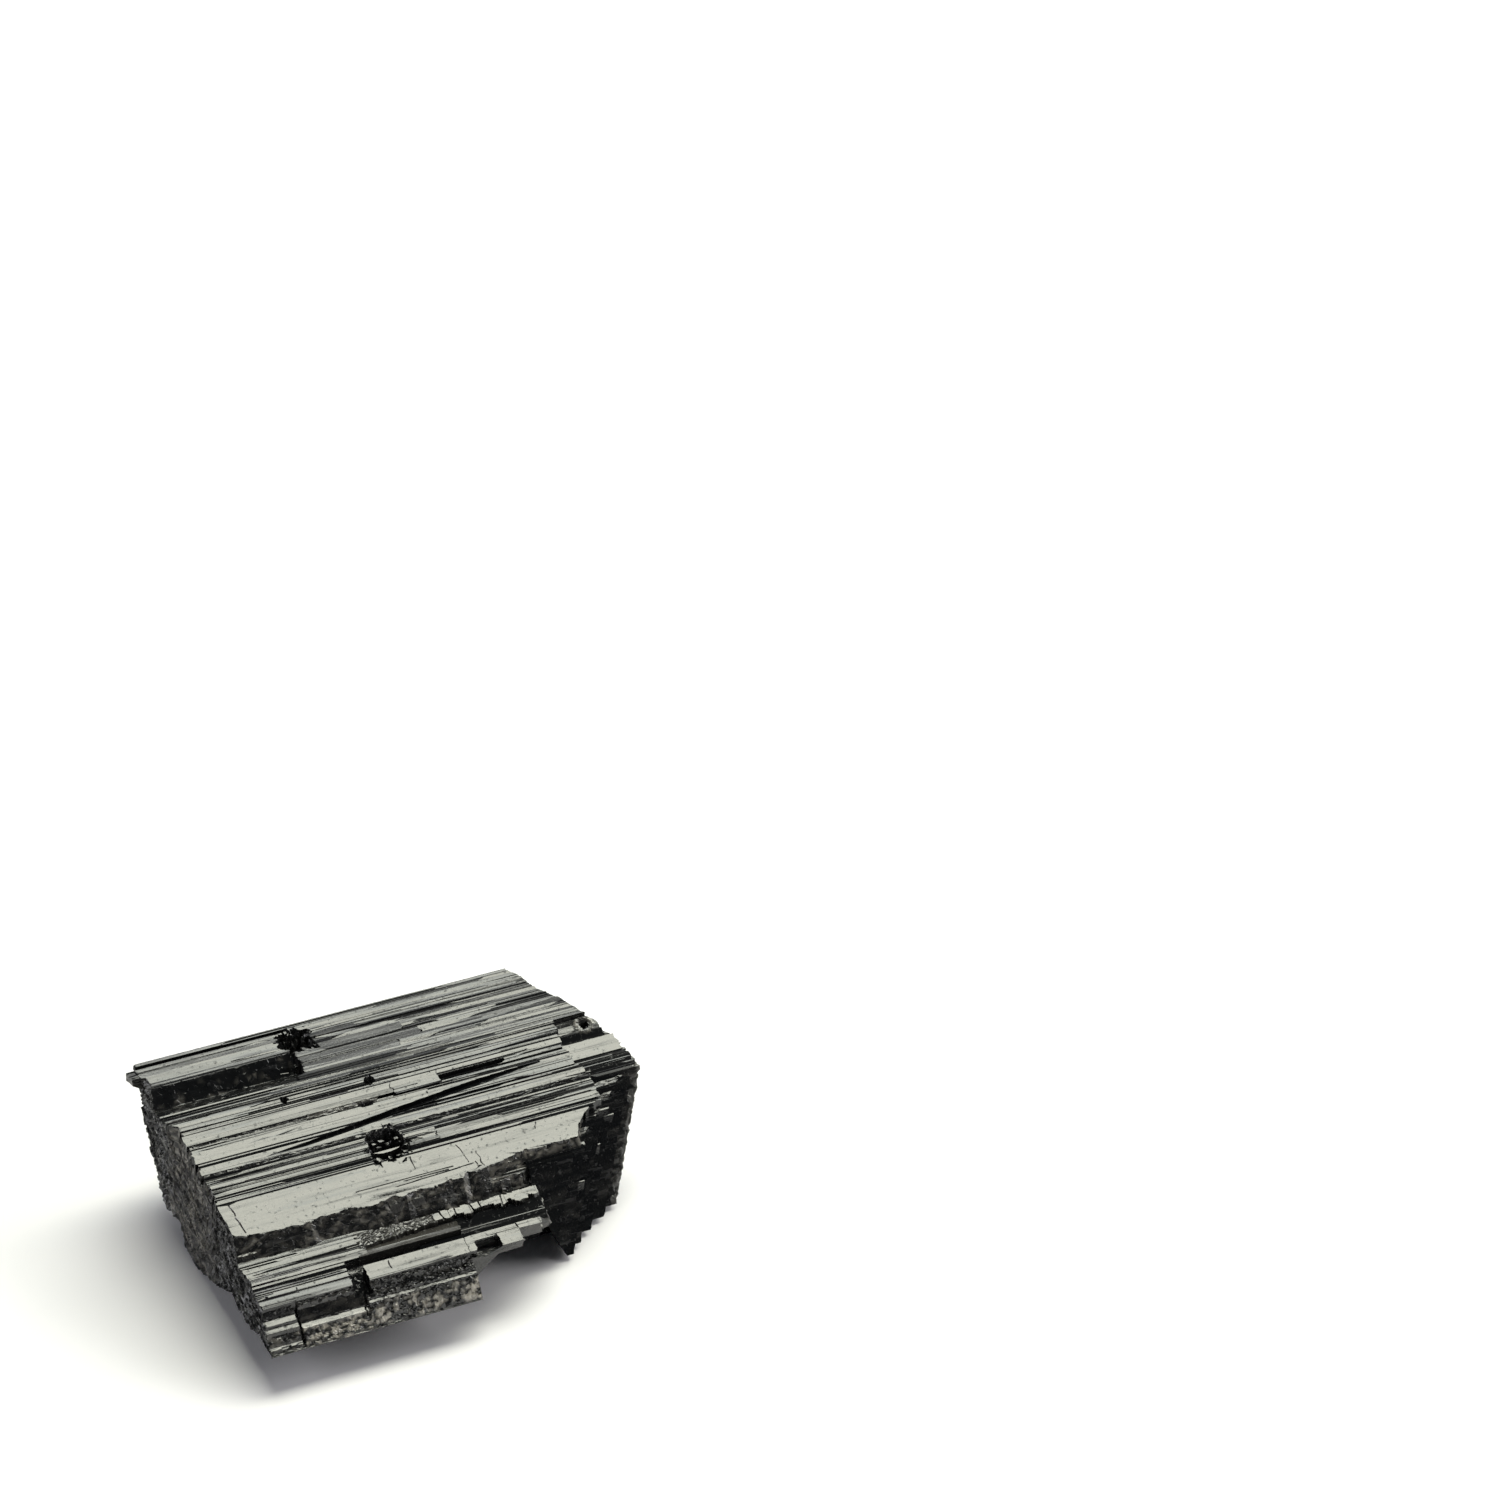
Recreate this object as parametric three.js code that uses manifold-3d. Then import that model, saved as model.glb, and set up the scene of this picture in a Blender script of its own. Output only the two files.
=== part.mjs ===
// A rough piece of black tourmaline: one solid with long parallel ridges, lying on a flat patch of its underside.
// Millimetres. X runs along the ridges, Z is up, and the side with the low front ledge faces -Y.
// In the numbers below, "along" is measured from the broken left end and "across" from the top back edge to the front.

import * as THREE from 'three';
import { mergeVertices } from 'three/addons/utils/BufferGeometryUtils.js';
import Module from 'manifold-3d';

const wasm = await Module();
wasm.setup();

// Driving dimensions
const TOP_HEIGHT = 13.2;
const BACK_FLAT_WIDTH = 8.9;
const MAIN_SLOPE = Math.tan(THREE.MathUtils.degToRad(14));
const STEP_ACROSS = 22.8;
const LEDGE_START = 23.3;
const LEDGE_HEIGHT = 8.2;
const LEDGE_SLOPE = Math.tan(THREE.MathUtils.degToRad(14));
const BAND_START = 29.2;
const BAND_TOP = 6.6;
const FRONT_ACROSS = 31.9;
const FRONT_LOW = 3.6;
const LEFT_END = 0;
const RIGHT_END = 43.2;
const CORE_DEPTH = 0.9;
const STRIP_ROOT = 2.4;
const STEP_LEAN = 0.7;
const REST_BACK = 9.4;
const REST_FRONT = 21.5;
const FLANK_SLOPE = 1.77;
const FLANK_END_LEAN = 0.46;
const UNDERCUT_START = 20.5;
const UNDERCUT_END = 28.6;

// Surface of the stone
const STONE_COLOR = 0x1b1c1c;
const STONE_ROUGHNESS = 0.22;
const STONE_METALNESS = 0;

// Repeatable random numbers for ragged edges and broken faces
function randomFrom(seed) {
  let state = seed;
  return () => {
    state = (state + 0x6d2b79f5) | 0;
    let mixed = Math.imul(state ^ (state >>> 15), 1 | state);
    mixed = (mixed + Math.imul(mixed ^ (mixed >>> 7), 61 | mixed)) ^ mixed;
    return ((mixed ^ (mixed >>> 14)) >>> 0) / 4294967296;
  };
}

// Height of the top surface: a level strip at the back, then one long slope down to the step
function topHeight(across) {
  return TOP_HEIGHT - Math.max(0, across - BACK_FLAT_WIDTH) * MAIN_SLOPE;
}

// Height of the low front ledge
function ledgeHeight(across) {
  return LEDGE_HEIGHT - (across - LEDGE_START) * LEDGE_SLOPE;
}

function toSolid(geometry) {
  const bare = geometry.clone();
  bare.deleteAttribute('normal');
  bare.deleteAttribute('uv');
  const merged = mergeVertices(bare, 1e-4);
  return new wasm.Manifold(new wasm.Mesh({
    numProp: 3,
    vertProperties: Float32Array.from(merged.attributes.position.array),
    triVerts: Uint32Array.from(merged.index.array),
  }));
}

function moveVertices(geometry, mapPoint) {
  const positions = geometry.attributes.position;
  const point = new THREE.Vector3();
  for (let index = 0; index < positions.count; index += 1) {
    point.fromBufferAttribute(positions, index);
    mapPoint(point);
    positions.setXYZ(index, point.x, point.y, point.z);
  }
  return geometry;
}

// A body standing on an outline seen from above: each outline point is [along, across], with an optional shift of
// that point at the foot as [along, across, footAlong, footAcross]
function standingBody(outline, heightAt, foot, lean = 0) {
  const shape = new THREE.Shape(outline.map(([along, across]) => new THREE.Vector2(along, -across)));
  const feet = new Map(outline.map(([along, across, footAlong = 0, footAcross = lean]) => (
    [`${along.toFixed(4)},${across.toFixed(4)}`, [footAlong, footAcross]]
  )));
  const geometry = new THREE.ExtrudeGeometry(shape, { depth: 1, bevelEnabled: false });
  moveVertices(geometry, (point) => {
    const across = -point.y;
    if (point.z > 0.5) {
      point.z = heightAt(across);
      return;
    }
    const [footAlong, footAcross] = feet.get(`${point.x.toFixed(4)},${across.toFixed(4)}`);
    point.x += footAlong;
    point.y -= footAcross;
    point.z = typeof foot === 'function' ? foot(across) : foot;
  });
  return toSolid(geometry);
}

// A bar running along the ridges with the given cross-section, each point [across, height]. Its ends can be skewed
// across the ridges, its far end can lean back towards the foot, and its far section can differ from its near one.
function bar(section, from, to, { skew = 0, lean = 0, farSection = section } = {}) {
  const shape = new THREE.Shape(section.map(([across, height]) => new THREE.Vector2(-across, height)));
  const geometry = new THREE.ExtrudeGeometry(shape, { depth: 1, bevelEnabled: false });
  const middle = section.reduce((sum, [across]) => sum + across, 0) / section.length;
  const crest = Math.max(...section.map(([, height]) => height));
  const far = new Map(section.map(([across, height], index) => (
    [`${across.toFixed(4)},${height.toFixed(4)}`, farSection[index]]
  )));
  moveVertices(geometry, (point) => {
    const across = -point.x;
    const height = point.y;
    if (point.z > 0.5) {
      const [farAcross, farHeight] = far.get(`${across.toFixed(4)},${height.toFixed(4)}`);
      point.set(to + skew * (across - middle) - lean * (crest - height), -farAcross, farHeight);
      return;
    }
    point.set(from - skew * (across - middle) * 0.5, -across, height);
  });
  return toSolid(geometry);
}

// A line of points with ragged teeth between its corners; shifts at the foot are carried along it
function ragged(corners, spacing, depth, seed) {
  const random = randomFrom(seed);
  const points = [];
  for (let index = 0; index < corners.length - 1; index += 1) {
    const [startAlong, startAcross, startFootAlong = 0, startFootAcross = 0] = corners[index];
    const [endAlong, endAcross, endFootAlong = 0, endFootAcross = 0] = corners[index + 1];
    const length = Math.hypot(endAlong - startAlong, endAcross - startAcross);
    const pieces = Math.max(1, Math.round(length / spacing));
    for (let piece = 0; piece < pieces; piece += 1) {
      const share = (piece + (piece > 0 ? (random() - 0.5) * 0.6 : 0)) / pieces;
      const bite = piece > 0 ? (random() - 0.5) * 2 * depth : 0;
      const normalAlong = -(endAcross - startAcross) / length;
      const normalAcross = (endAlong - startAlong) / length;
      points.push([
        startAlong + (endAlong - startAlong) * share + normalAlong * bite,
        startAcross + (endAcross - startAcross) * share + normalAcross * bite,
        startFootAlong + (endFootAlong - startFootAlong) * share,
        startFootAcross + (endFootAcross - startFootAcross) * share,
      ]);
    }
  }
  points.push(corners[corners.length - 1]);
  return points;
}

// The body under the strips: its cross-section, cut to its outline seen from above
function coreBody() {
  const section = [
    [0.15, TOP_HEIGHT - CORE_DEPTH],
    [0.3, 9.6],
    [1.1, 8.9],
    [1.3, 7.4],
    [3.4, 4.3],
    [4.6, 3.9],
    [6.9, 1.3],
    [8.2, 1.1],
    [REST_BACK, 0.3],
    [REST_BACK + 0.9, 0.35],
    [REST_BACK + 1.2, 0],
    [REST_FRONT - 2.6, 0],
    [REST_FRONT - 2.3, 0.4],
    [REST_FRONT, 0.5],
    [22.8, 1.4],
    [25.2, 2.1],
    [26.4, 3.1],
    [29.2, 3.7],
    [30.4, FRONT_LOW],
    [FRONT_ACROSS - 0.4, FRONT_LOW],
    [29.4, ledgeHeight(29.4) - CORE_DEPTH],
    [STEP_ACROSS + STEP_LEAN, ledgeHeight(STEP_ACROSS + STEP_LEAN) - CORE_DEPTH],
    [STEP_ACROSS - 0.4, topHeight(STEP_ACROSS) - CORE_DEPTH],
    [BACK_FLAT_WIDTH, TOP_HEIGHT - CORE_DEPTH],
  ];
  const rightEnd = ragged([
    [36.2, -0.5, -2.4, 0],
    [37.6, 3.2, -2.8, 0],
    [39.2, 5.9, -3.2, 0],
    [40.3, 8.6, -3.8, 0],
    [42.3, 11.3, -5.8, 0],
    [RIGHT_END, 14.4, -7.6, 0.6],
  ], 1.1, 0.22, 31);
  const outline = [
    [-2, -0.5],
    ...rightEnd,
    [41.0, 15.9, -5.8, 1.2],
    [37.4, 18.9, -4.4, 1.6],
    [34.6, 21.2, -3.4, 1.8],
    [29.6, 22.4, -0.6, 1.6],
    [28.9, 27.2, -0.4, 0],
    [25.4, 28.7, -0.4, 0],
    [20.6, 29.5, -0.2, 0],
    [20.4, 32.4],
    [-2, 32.4],
  ];
  const along = bar(section, -2, RIGHT_END + 2);
  return along.intersect(standingBody(outline, () => TOP_HEIGHT + 1, -1));
}

// Long flat strips side by side on the top, each [acrossFrom, acrossTo, alongFrom, alongTo, lift]
function topStrips() {
  const strips = [
    [0, 0.4, -0.8, 36.2, -0.12],
    [0.75, 2.4, -0.9, 13.6, 0.12],
    [2.4, 3.9, -0.9, 13.3, 0.05],
    [0.4, 1.3, 13.7, 36.3, 0],
    [1.3, 1.7, 14.2, 36.8, -0.14],
    [1.7, 2.6, 14.6, 37.2, 0.02],
    [2.6, 3.1, 15.1, 37.4, -0.2],
    [3.1, 3.6, 14.6, 37.7, -0.08],
    [3.6, 4.6, 13.4, 38.0, 0.03],
    [4.6, 5.3, 13.6, 38.5, -0.1],
    [5.3, 5.7, 13.5, 38.8, -0.24],
    [5.7, 6.8, 13.3, 39.2, 0.02],
    [6.8, 7.9, 13.2, 39.7, -0.06],
    [7.9, 8.8, 8.5, 40.1, -0.2],
    [8.8, 9.6, -0.9, 37.4, 0],
    [9.6, 10.3, -0.7, 37.2, 0.04],
    [10.3, 10.6, 0.1, 37.1, -0.22],
    [10.6, 10.95, 0.0, 37.2, -0.08],
    [10.95, 11.95, -0.2, 37.0, 0.04],
    [11.1, 12.3, 20.0, 24.6, 0.12],
    [12.55, 14.05, 0, 37.2, 0],
    [14.05, 14.5, 0.1, 37.5, -0.24],
    [14.5, 15.35, 0, 37.8, -0.06],
    [15.35, 16.6, 0.1, 38.0, -0.22],
    [16.6, 18.0, 0.2, 37.9, 0],
  ];
  return strips.map(([acrossFrom, acrossTo, alongFrom, alongTo, lift]) => standingBody(
    [[alongFrom, acrossFrom], [alongTo, acrossFrom], [alongTo + 0.25, acrossTo], [alongFrom, acrossTo]],
    (across) => topHeight(across) + lift,
    (across) => topHeight(across) - STRIP_ROOT,
  ));
}

// The widest strip, whose ragged front edge makes the step down to the ledge
function broadStrip() {
  const frontEdge = ragged([
    [-0.9, 21.9],
    [1.1, 22.4],
    [3.0, 22.75],
    [20.2, 22.7],
    [25.0, 22.1],
    [29.8, 21.6],
    [34.2, 21.5],
  ], 0.9, 0.22, 11);
  return standingBody(
    [[34.6, 20.6], [35.3, 19.8], [36.5, 18.85], [-0.9, 18.85], ...frontEdge],
    (across) => topHeight(across) + 0.02,
    6.6,
    STEP_LEAN,
  );
}

// Rough sill between the widest strip and the ledge, with a square lump on it
function stepSill() {
  const sill = ragged([[-0.9, 23.1], [12, 23.2], [21, 23.3], [29, 22.7], [34.6, 22.0]], 1.2, 0.25, 23);
  const body = standingBody(
    [[35.2, 20.4], [-0.9, 20.4], ...sill],
    (across) => topHeight(across) - 0.75,
    6.2,
    0.5,
  );
  const lump = standingBody(
    [[16.1, 21.8], [18.6, 21.7], [18.9, 22.9], [18.1, 23.4], [16.3, 23.2]],
    (across) => topHeight(across) - 0.2,
    6.6,
    0.4,
  );
  return [body, lump];
}

// The lower layer that the top strips leave bare at the right end
function rightShelf() {
  const shelves = [
    [8.7, 10.4, 36.6, 41.3, -0.5],
    [10.4, 11.3, 36.6, 41.6, -0.95],
    [11.3, 13.2, 36.4, 42.3, -0.55],
    [13.2, 14.2, 36.4, 42.7, -0.75],
    [14.2, 15.4, 36.4, 42.9, -0.6],
  ];
  return shelves.map(([acrossFrom, acrossTo, alongFrom, alongTo, lift]) => standingBody(
    [[alongFrom, acrossFrom], [alongTo - 0.3, acrossFrom], [alongTo, acrossTo], [alongFrom, acrossTo]],
    (across) => topHeight(across) + lift,
    (across) => topHeight(across) - STRIP_ROOT,
  ));
}

// Strips and blocks of the low front ledge
function ledgeBlocks() {
  const blocks = [
    [[[-0.9, 23.4], [28.8, 23.4], [29.2, 24.0], [-0.9, 24.0]], -0.3],
    [[[-0.9, 24.1], [29.0, 23.9], [28.6, 25.2], [22, 25.6], [14, 26.2], [11, 26.55], [-0.9, 26.55]], 0],
    [[[-0.9, 26.9], [9.3, 26.9], [9.0, 29.0], [-0.9, 29.2]], -0.05],
    [[[10.6, 27.5], [25.6, 27.4], [25.2, 28.3], [20.4, 29.2], [10.4, 29.0]], 0.08],
    [[[23.4, 28.1], [25.6, 28.0], [25.4, 29.4], [23.2, 29.4]], 0.12],
    [[[25.5, 27.4], [27.9, 27.5], [27.8, 28.0], [25.5, 28.2]], 0.05],
  ];
  return blocks.map(([outline, lift]) => standingBody(
    outline,
    (across) => ledgeHeight(across) + lift,
    (across) => ledgeHeight(across) - STRIP_ROOT,
    0.2,
  ));
}

// Blocks of the stepped front face under the ledge: [alongFrom, alongTo, steps, set forward]
function frontBlocks() {
  const blocks = [
    [-0.9, 3.2, 3, -0.1],
    [3.5, 9.9, 4, 0],
    [9.9, 20.4, 5, -0.15],
  ];
  return blocks.map(([alongFrom, alongTo, steps, forward]) => {
    const section = [[27.5, BAND_TOP], [BAND_START + forward, BAND_TOP]];
    const run = (FRONT_ACROSS - BAND_START) / steps;
    const rise = (BAND_TOP - FRONT_LOW) / steps;
    for (let step = 0; step < steps; step += 1) {
      const across = BAND_START + forward + run * step;
      const height = BAND_TOP - rise * step;
      section.push([across + run * 0.66, height - run * 0.2]);
      section.push([across + run, height - rise]);
    }
    section.push([FRONT_ACROSS + forward - 0.5, FRONT_LOW - 0.2]);
    section.push([27.5, FRONT_LOW]);
    return bar(section, alongFrom, alongTo, { skew: 0.08 });
  });
}

// Blades of the steep right flank: each a shoulder with a long slope in front of it, [across, alongTo]
function rightFlank() {
  const blades = [
    [23.1, 31.4],
    [22.8, 33.2],
    [22.3, 34.6],
    [21.2, 36.0],
    [19.8, 37.4],
    [18.3, 39.2],
    [16.9, 41.2],
    [15.5, RIGHT_END],
  ];
  return blades.map(([across, alongTo]) => {
    const crest = topHeight(across) - 0.55;
    const low = 0.5;
    const foot = across + (crest - low) / FLANK_SLOPE;
    return bar([
      [across - 2.6, crest - 1.5],
      [across - 1.3, crest - 0.4],
      [across, crest],
      [foot, low],
      [foot - 0.9, 0.15],
      [across - 2.6, 0.2],
    ], UNDERCUT_START + 1, alongTo, { lean: FLANK_END_LEAN });
  });
}

// A six-sided crystal running along the ridges
function crystal(across, height, radius, from, to, turnShare, skew) {
  const sides = 6;
  const section = [];
  for (let side = 0; side < sides; side += 1) {
    const turn = ((side + turnShare) / sides) * Math.PI * 2;
    section.push([across + Math.cos(turn) * radius, height + Math.sin(turn) * radius]);
  }
  return bar(section, from, to, { skew });
}

// Crystals that give the steep face at the right its ridges and the right end its stepped break
function rightBundle() {
  const crystals = [
    [19.2, 7.6, 0.7, 24, 38.0],
    [20.6, 5.6, 0.7, 24, 36.9],
    [22.9, 5.0, 0.7, 24, 35.2],
    [25.0, 3.2, 0.7, 24, 32.6],
    [4.0, 7.6, 1.0, 20, 36.9],
    [7.1, 9.6, 1.1, 20, 39.4],
    [8.3, 5.2, 1.3, 20, 38.3],
    [11.4, 9.2, 1.2, 20, 41.0],
    [11.8, 3.4, 1.4, 20, 38.6],
    [14.6, 6.6, 1.5, 20, 40.3],
  ];
  return crystals.map(([across, height, radius, from, to], place) => (
    crystal(across, height, radius, from, to, 0.3 * (place % 3), place % 2 === 0 ? 0.3 : -0.4)
  ));
}

// Keeled ribs along the back and the underside
function hiddenRibs() {
  const ribs = [
    [0.25, 11.2, 0.9, 6, 37],
    [0.9, 8.4, 1.1, -0.9, 33],
    [2.3, 6.1, 1.0, 4, 38],
    [4.1, 3.6, 0.9, -0.9, 24],
    [6.3, 2.0, 1.0, 10, 38.5],
    [24.4, 2.0, 0.9, 7, 20.2],
    [27.6, 3.7, 0.8, -0.9, 17],
    [26.0, 3.0, 0.8, 8, 20.3],
  ];
  return ribs.map(([across, height, radius, from, to], place) => (
    crystal(across + 0.5, height, radius, from, to, 0.35 * (place % 3), place % 2 === 0 ? 0.4 : -0.3)
  ));
}

// A thin blade that sticks out at the top of the left end
function leftTip() {
  return bar([
    [0.6, TOP_HEIGHT - 0.7],
    [1.0, TOP_HEIGHT],
    [2.1, TOP_HEIGHT + 0.05],
    [2.0, TOP_HEIGHT - 0.8],
  ], -1.8, 1.5, { skew: -0.35 });
}

// Grooves and hollows cut into the top
function hollows() {
  const top = TOP_HEIGHT;
  const recessEdge = ragged([[-2, 3.9, 0, 1.2], [6, 4.0, 0, 1.2], [13.4, 3.9, -0.4, 1.1]], 0.9, 0.16, 37);
  const recess = standingBody(
    [...recessEdge, [13.6, 6.9, -0.3, 0], [8.5, 8.8], [-2, 8.8]],
    () => top + 1,
    (across) => top - 1.3 + Math.max(0, across - 5.1) * 0.32,
  );
  const backGroove = bar([[0.4, top + 0.3], [0.45, top - 0.4], [0.75, top - 0.35], [0.75, top + 0.3]], -2, 13.8);
  const longGroove = standingBody(
    [[6.2, 15.0], [12.0, 14.45], [20.0, 13.5], [28.0, 12.9], [34.2, 12.75], [28.0, 13.35], [20.0, 14.1], [12.0, 14.85]],
    () => TOP_HEIGHT + 1,
    (across) => topHeight(across) - 0.38,
  );
  const slot = standingBody(
    [[24.6, 11.4], [30.6, 11.45], [30.6, 12.0], [24.6, 12.1]],
    () => TOP_HEIGHT + 1,
    (across) => topHeight(across) - 0.45,
  );
  const notch = standingBody(
    [[9.3, 26.5], [10.7, 26.6], [10.6, 29.6], [8.9, 29.6]],
    () => TOP_HEIGHT,
    (across) => ledgeHeight(across) - 0.6,
  );
  const crack = bar([[29, 7], [31.8, 7], [31.8, 2], [29.9, 2]], 3.25, 3.5);
  return [recess, backGroove, longGroove, slot, notch, crack];
}

// Angular pits: a ring of corners that narrows to a floor
function pit(centerAlong, centerAcross, halfAlong, halfAcross, depth, sides, seed) {
  const random = randomFrom(seed);
  const outline = [];
  for (let side = 0; side < sides; side += 1) {
    const turn = (side / sides) * Math.PI * 2 + random() * 0.5;
    const reach = 0.8 + random() * 0.35;
    const along = centerAlong + Math.cos(turn) * halfAlong * reach;
    const across = centerAcross + Math.sin(turn) * halfAcross * reach;
    const draw = 0.35 + random() * 0.3;
    outline.push([along, across, (centerAlong - along) * draw, (centerAcross - across) * draw]);
  }
  const rim = topHeight(centerAcross);
  return standingBody(outline, () => rim + 1.2, rim - depth);
}

function pits() {
  return [
    pit(14.2, 2.5, 2.3, 2.0, 1.5, 7, 3),
    pit(17.1, 17.3, 2.2, 2.1, 1.4, 8, 5),
    pit(10.2, 9.8, 0.5, 0.45, 0.5, 5, 7),
    pit(18.4, 10.1, 0.6, 0.5, 0.5, 5, 9),
    pit(40.0, 9.8, 0.7, 0.6, 1.2, 6, 13),
    pit(17.2, 12.4, 0.9, 0.35, 0.4, 6, 17),
  ];
}

// How far the top edge of the broken left end stands back from the end line, as [across, along]
function leftEdge(across) {
  const corners = [
    [0, -0.5],
    [3.4, -0.1],
    [4.2, -0.7],
    [9.2, -0.8],
    [10.2, 0],
    [16, 0.15],
    [27.5, 0.4],
    [28.8, 0.6],
    [29.8, 0.2],
    [FRONT_ACROSS, 0.4],
  ];
  const beyond = corners.findIndex(([place]) => place > across);
  const next = beyond < 0 ? corners.length - 1 : Math.max(1, beyond);
  const [startAcross, start] = corners[next - 1];
  const [endAcross, end] = corners[next];
  const share = THREE.MathUtils.clamp((across - startAcross) / (endAcross - startAcross), 0, 1);
  return start + (end - start) * share;
}

// A large block with one broken face, used to break off the left end
function brokenFaceCutter() {
  const depth = 12;
  const width = 44;
  const height = 24;
  const acrossCells = 34;
  const heightCells = 14;
  const geometry = new THREE.BoxGeometry(depth, width, height, 1, acrossCells, heightCells);
  const random = randomFrom(41);
  const shades = Array.from({ length: (acrossCells + 1) * (heightCells + 1) }, () => random());
  return toSolid(moveVertices(geometry, (point) => {
    if (point.x > 0) {
      const column = Math.round(((point.y + width / 2) / width) * acrossCells);
      const row = Math.round(((point.z + height / 2) / height) * heightCells);
      const grain = shades[column * (heightCells + 1) + row];
      const wave = Math.sin(column * 0.55) * 0.14 + Math.sin(row * 0.9 + 1) * 0.16;
      const across = FRONT_ACROSS / 2 - point.y;
      const below = topHeight(across) - (point.z + TOP_HEIGHT / 2);
      const fade = THREE.MathUtils.clamp(1 - below / 5, 0.2, 1);
      point.x += (grain - 0.5) * 0.5 + wave + leftEdge(across) * fade;
    }
    point.x += LEFT_END - depth / 2;
    point.y -= FRONT_ACROSS / 2;
    point.z += TOP_HEIGHT / 2;
  }));
}

// The underside climbs towards the left end
function leftUndercut() {
  const near = [[12, -1], [12, 0], [20, 2.5], [25, 3.3], [29, 3.6], [29, -1]];
  const far = [[12, -1.2], [12, -0.6], [20, -0.5], [25, -0.3], [29, -0.2], [29, -1.2]];
  return bar(near, -2, 10, { farSection: far });
}

// The right part of the ledge overhangs a hollow that reaches further to the right near the table
function ledgeUndercut() {
  return bar([
    [22.6, -1],
    [23.4, 0.7],
    [27.0, 5.6],
    [28.4, 6.0],
    [32.6, 6.0],
    [32.6, -1],
  ], UNDERCUT_START, UNDERCUT_END, { skew: 0.1, lean: -FLANK_END_LEAN });
}

function buildStone() {
  const adds = [
    ...topStrips(),
    broadStrip(),
    ...stepSill(),
    ...rightShelf(),
    ...ledgeBlocks(),
    ...frontBlocks(),
    ...rightFlank(),
    ...rightBundle(),
    ...hiddenRibs(),
  ];
  let body = coreBody();
  for (const piece of adds) {
    body = body.add(piece);
  }
  for (const hollow of [...hollows(), ...pits()]) {
    body = body.subtract(hollow);
  }
  body = body.subtract(brokenFaceCutter()).subtract(leftUndercut()).subtract(ledgeUndercut());
  return body.add(leftTip());
}

// Puts the solid over the origin: centred in plan, lowest point at height zero
function stoneGeometry() {
  const mesh = buildStone().getMesh();
  const geometry = new THREE.BufferGeometry();
  geometry.setAttribute('position', new THREE.BufferAttribute(Float32Array.from(mesh.vertProperties), 3));
  geometry.setIndex(new THREE.BufferAttribute(Uint32Array.from(mesh.triVerts), 1));
  geometry.computeBoundingBox();
  const { min, max } = geometry.boundingBox;
  geometry.translate(-(min.x + max.x) / 2, -(min.y + max.y) / 2, -min.z);
  geometry.computeVertexNormals();
  return geometry;
}

function tourmaline() {
  const material = new THREE.MeshStandardMaterial({
    color: STONE_COLOR,
    roughness: STONE_ROUGHNESS,
    metalness: STONE_METALNESS,
  });
  const mesh = new THREE.Mesh(stoneGeometry(), material);
  mesh.name = 'tourmaline';
  return mesh;
}

const stone = new THREE.Group();
stone.name = 'black_tourmaline';
stone.add(tourmaline());

export default stone;
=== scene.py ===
import math
import bpy
import numpy as np
from mathutils import Matrix, Vector


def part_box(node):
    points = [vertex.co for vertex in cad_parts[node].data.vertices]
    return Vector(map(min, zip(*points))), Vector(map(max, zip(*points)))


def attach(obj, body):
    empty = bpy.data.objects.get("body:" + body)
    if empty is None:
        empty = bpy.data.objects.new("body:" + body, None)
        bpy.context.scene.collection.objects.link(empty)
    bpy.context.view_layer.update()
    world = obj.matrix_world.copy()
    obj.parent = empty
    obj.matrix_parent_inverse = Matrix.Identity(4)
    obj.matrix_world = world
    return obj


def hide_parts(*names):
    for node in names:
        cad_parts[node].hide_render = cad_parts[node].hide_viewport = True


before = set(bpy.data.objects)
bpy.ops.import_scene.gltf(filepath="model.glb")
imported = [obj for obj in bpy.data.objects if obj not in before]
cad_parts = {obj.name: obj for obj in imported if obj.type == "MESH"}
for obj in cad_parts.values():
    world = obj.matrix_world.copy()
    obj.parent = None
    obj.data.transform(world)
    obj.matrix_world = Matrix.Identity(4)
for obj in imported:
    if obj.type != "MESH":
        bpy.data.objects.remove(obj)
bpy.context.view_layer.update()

# The stone is laid out in millimetres: along the ridges from the broken left end, across from the top back
# edge to the front, and height above the table. The shared frame is centred on the stone's box.
MM = 0.001
TOP = 13.2
FLAT = 8.9
SLOPE = math.tan(math.radians(14))
LEDGE_START = 23.3
LEDGE_HEIGHT = 8.2
FRONT = 31.9
BACK_REACH = -0.12
FRONT_REACH = 31.9
RIGHT = 43.2
FLANK_SLOPE = 1.77
END_LEAN = 0.46
UNDERCUT_END = 28.65
UNDERCUT_TOP = 6.0
TIP_REACH = -1.944

# How dull and how pale the right end and the worn places of the flank are, and how worn the blades' ends are
# taken to be
BREAK_GRAIN = 0.5
BREAK_CRUST = 0.03
WORN_GRAIN = 0.7
WORN_CRUST = 0.06
BLADE_END_WORN = 0.7

# Steps between the points of the flank's blades, and the angle from which an edge is sharp
SHELL_STEP = 0.14
SHELL_STEP_ALONG = 0.11
SHARP_FROM = math.radians(12)

STATIONS = 820
ROW_STEP = 0.05
CAP_LEVELS = 110
TRIANGLES = 190_000

low_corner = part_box("tourmaline")[0]
ALONG_SHIFT = TIP_REACH - low_corner[0] / MM
ACROSS_SHIFT = FRONT + low_corner[1] / MM


# Repeatable random numbers, the same as those of the plain solid
def random_from(seed):
    state = seed

    def multiply(a, b):
        return (a * b) & 0xFFFFFFFF

    def draw():
        nonlocal state
        state = (state + 0x6D2B79F5) & 0xFFFFFFFF
        mixed = multiply(state ^ (state >> 15), 1 | state)
        mixed = ((mixed + multiply(mixed ^ (mixed >> 7), 61 | mixed)) & 0xFFFFFFFF) ^ mixed
        return (mixed ^ (mixed >> 14)) / 4294967296

    return draw


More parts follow.
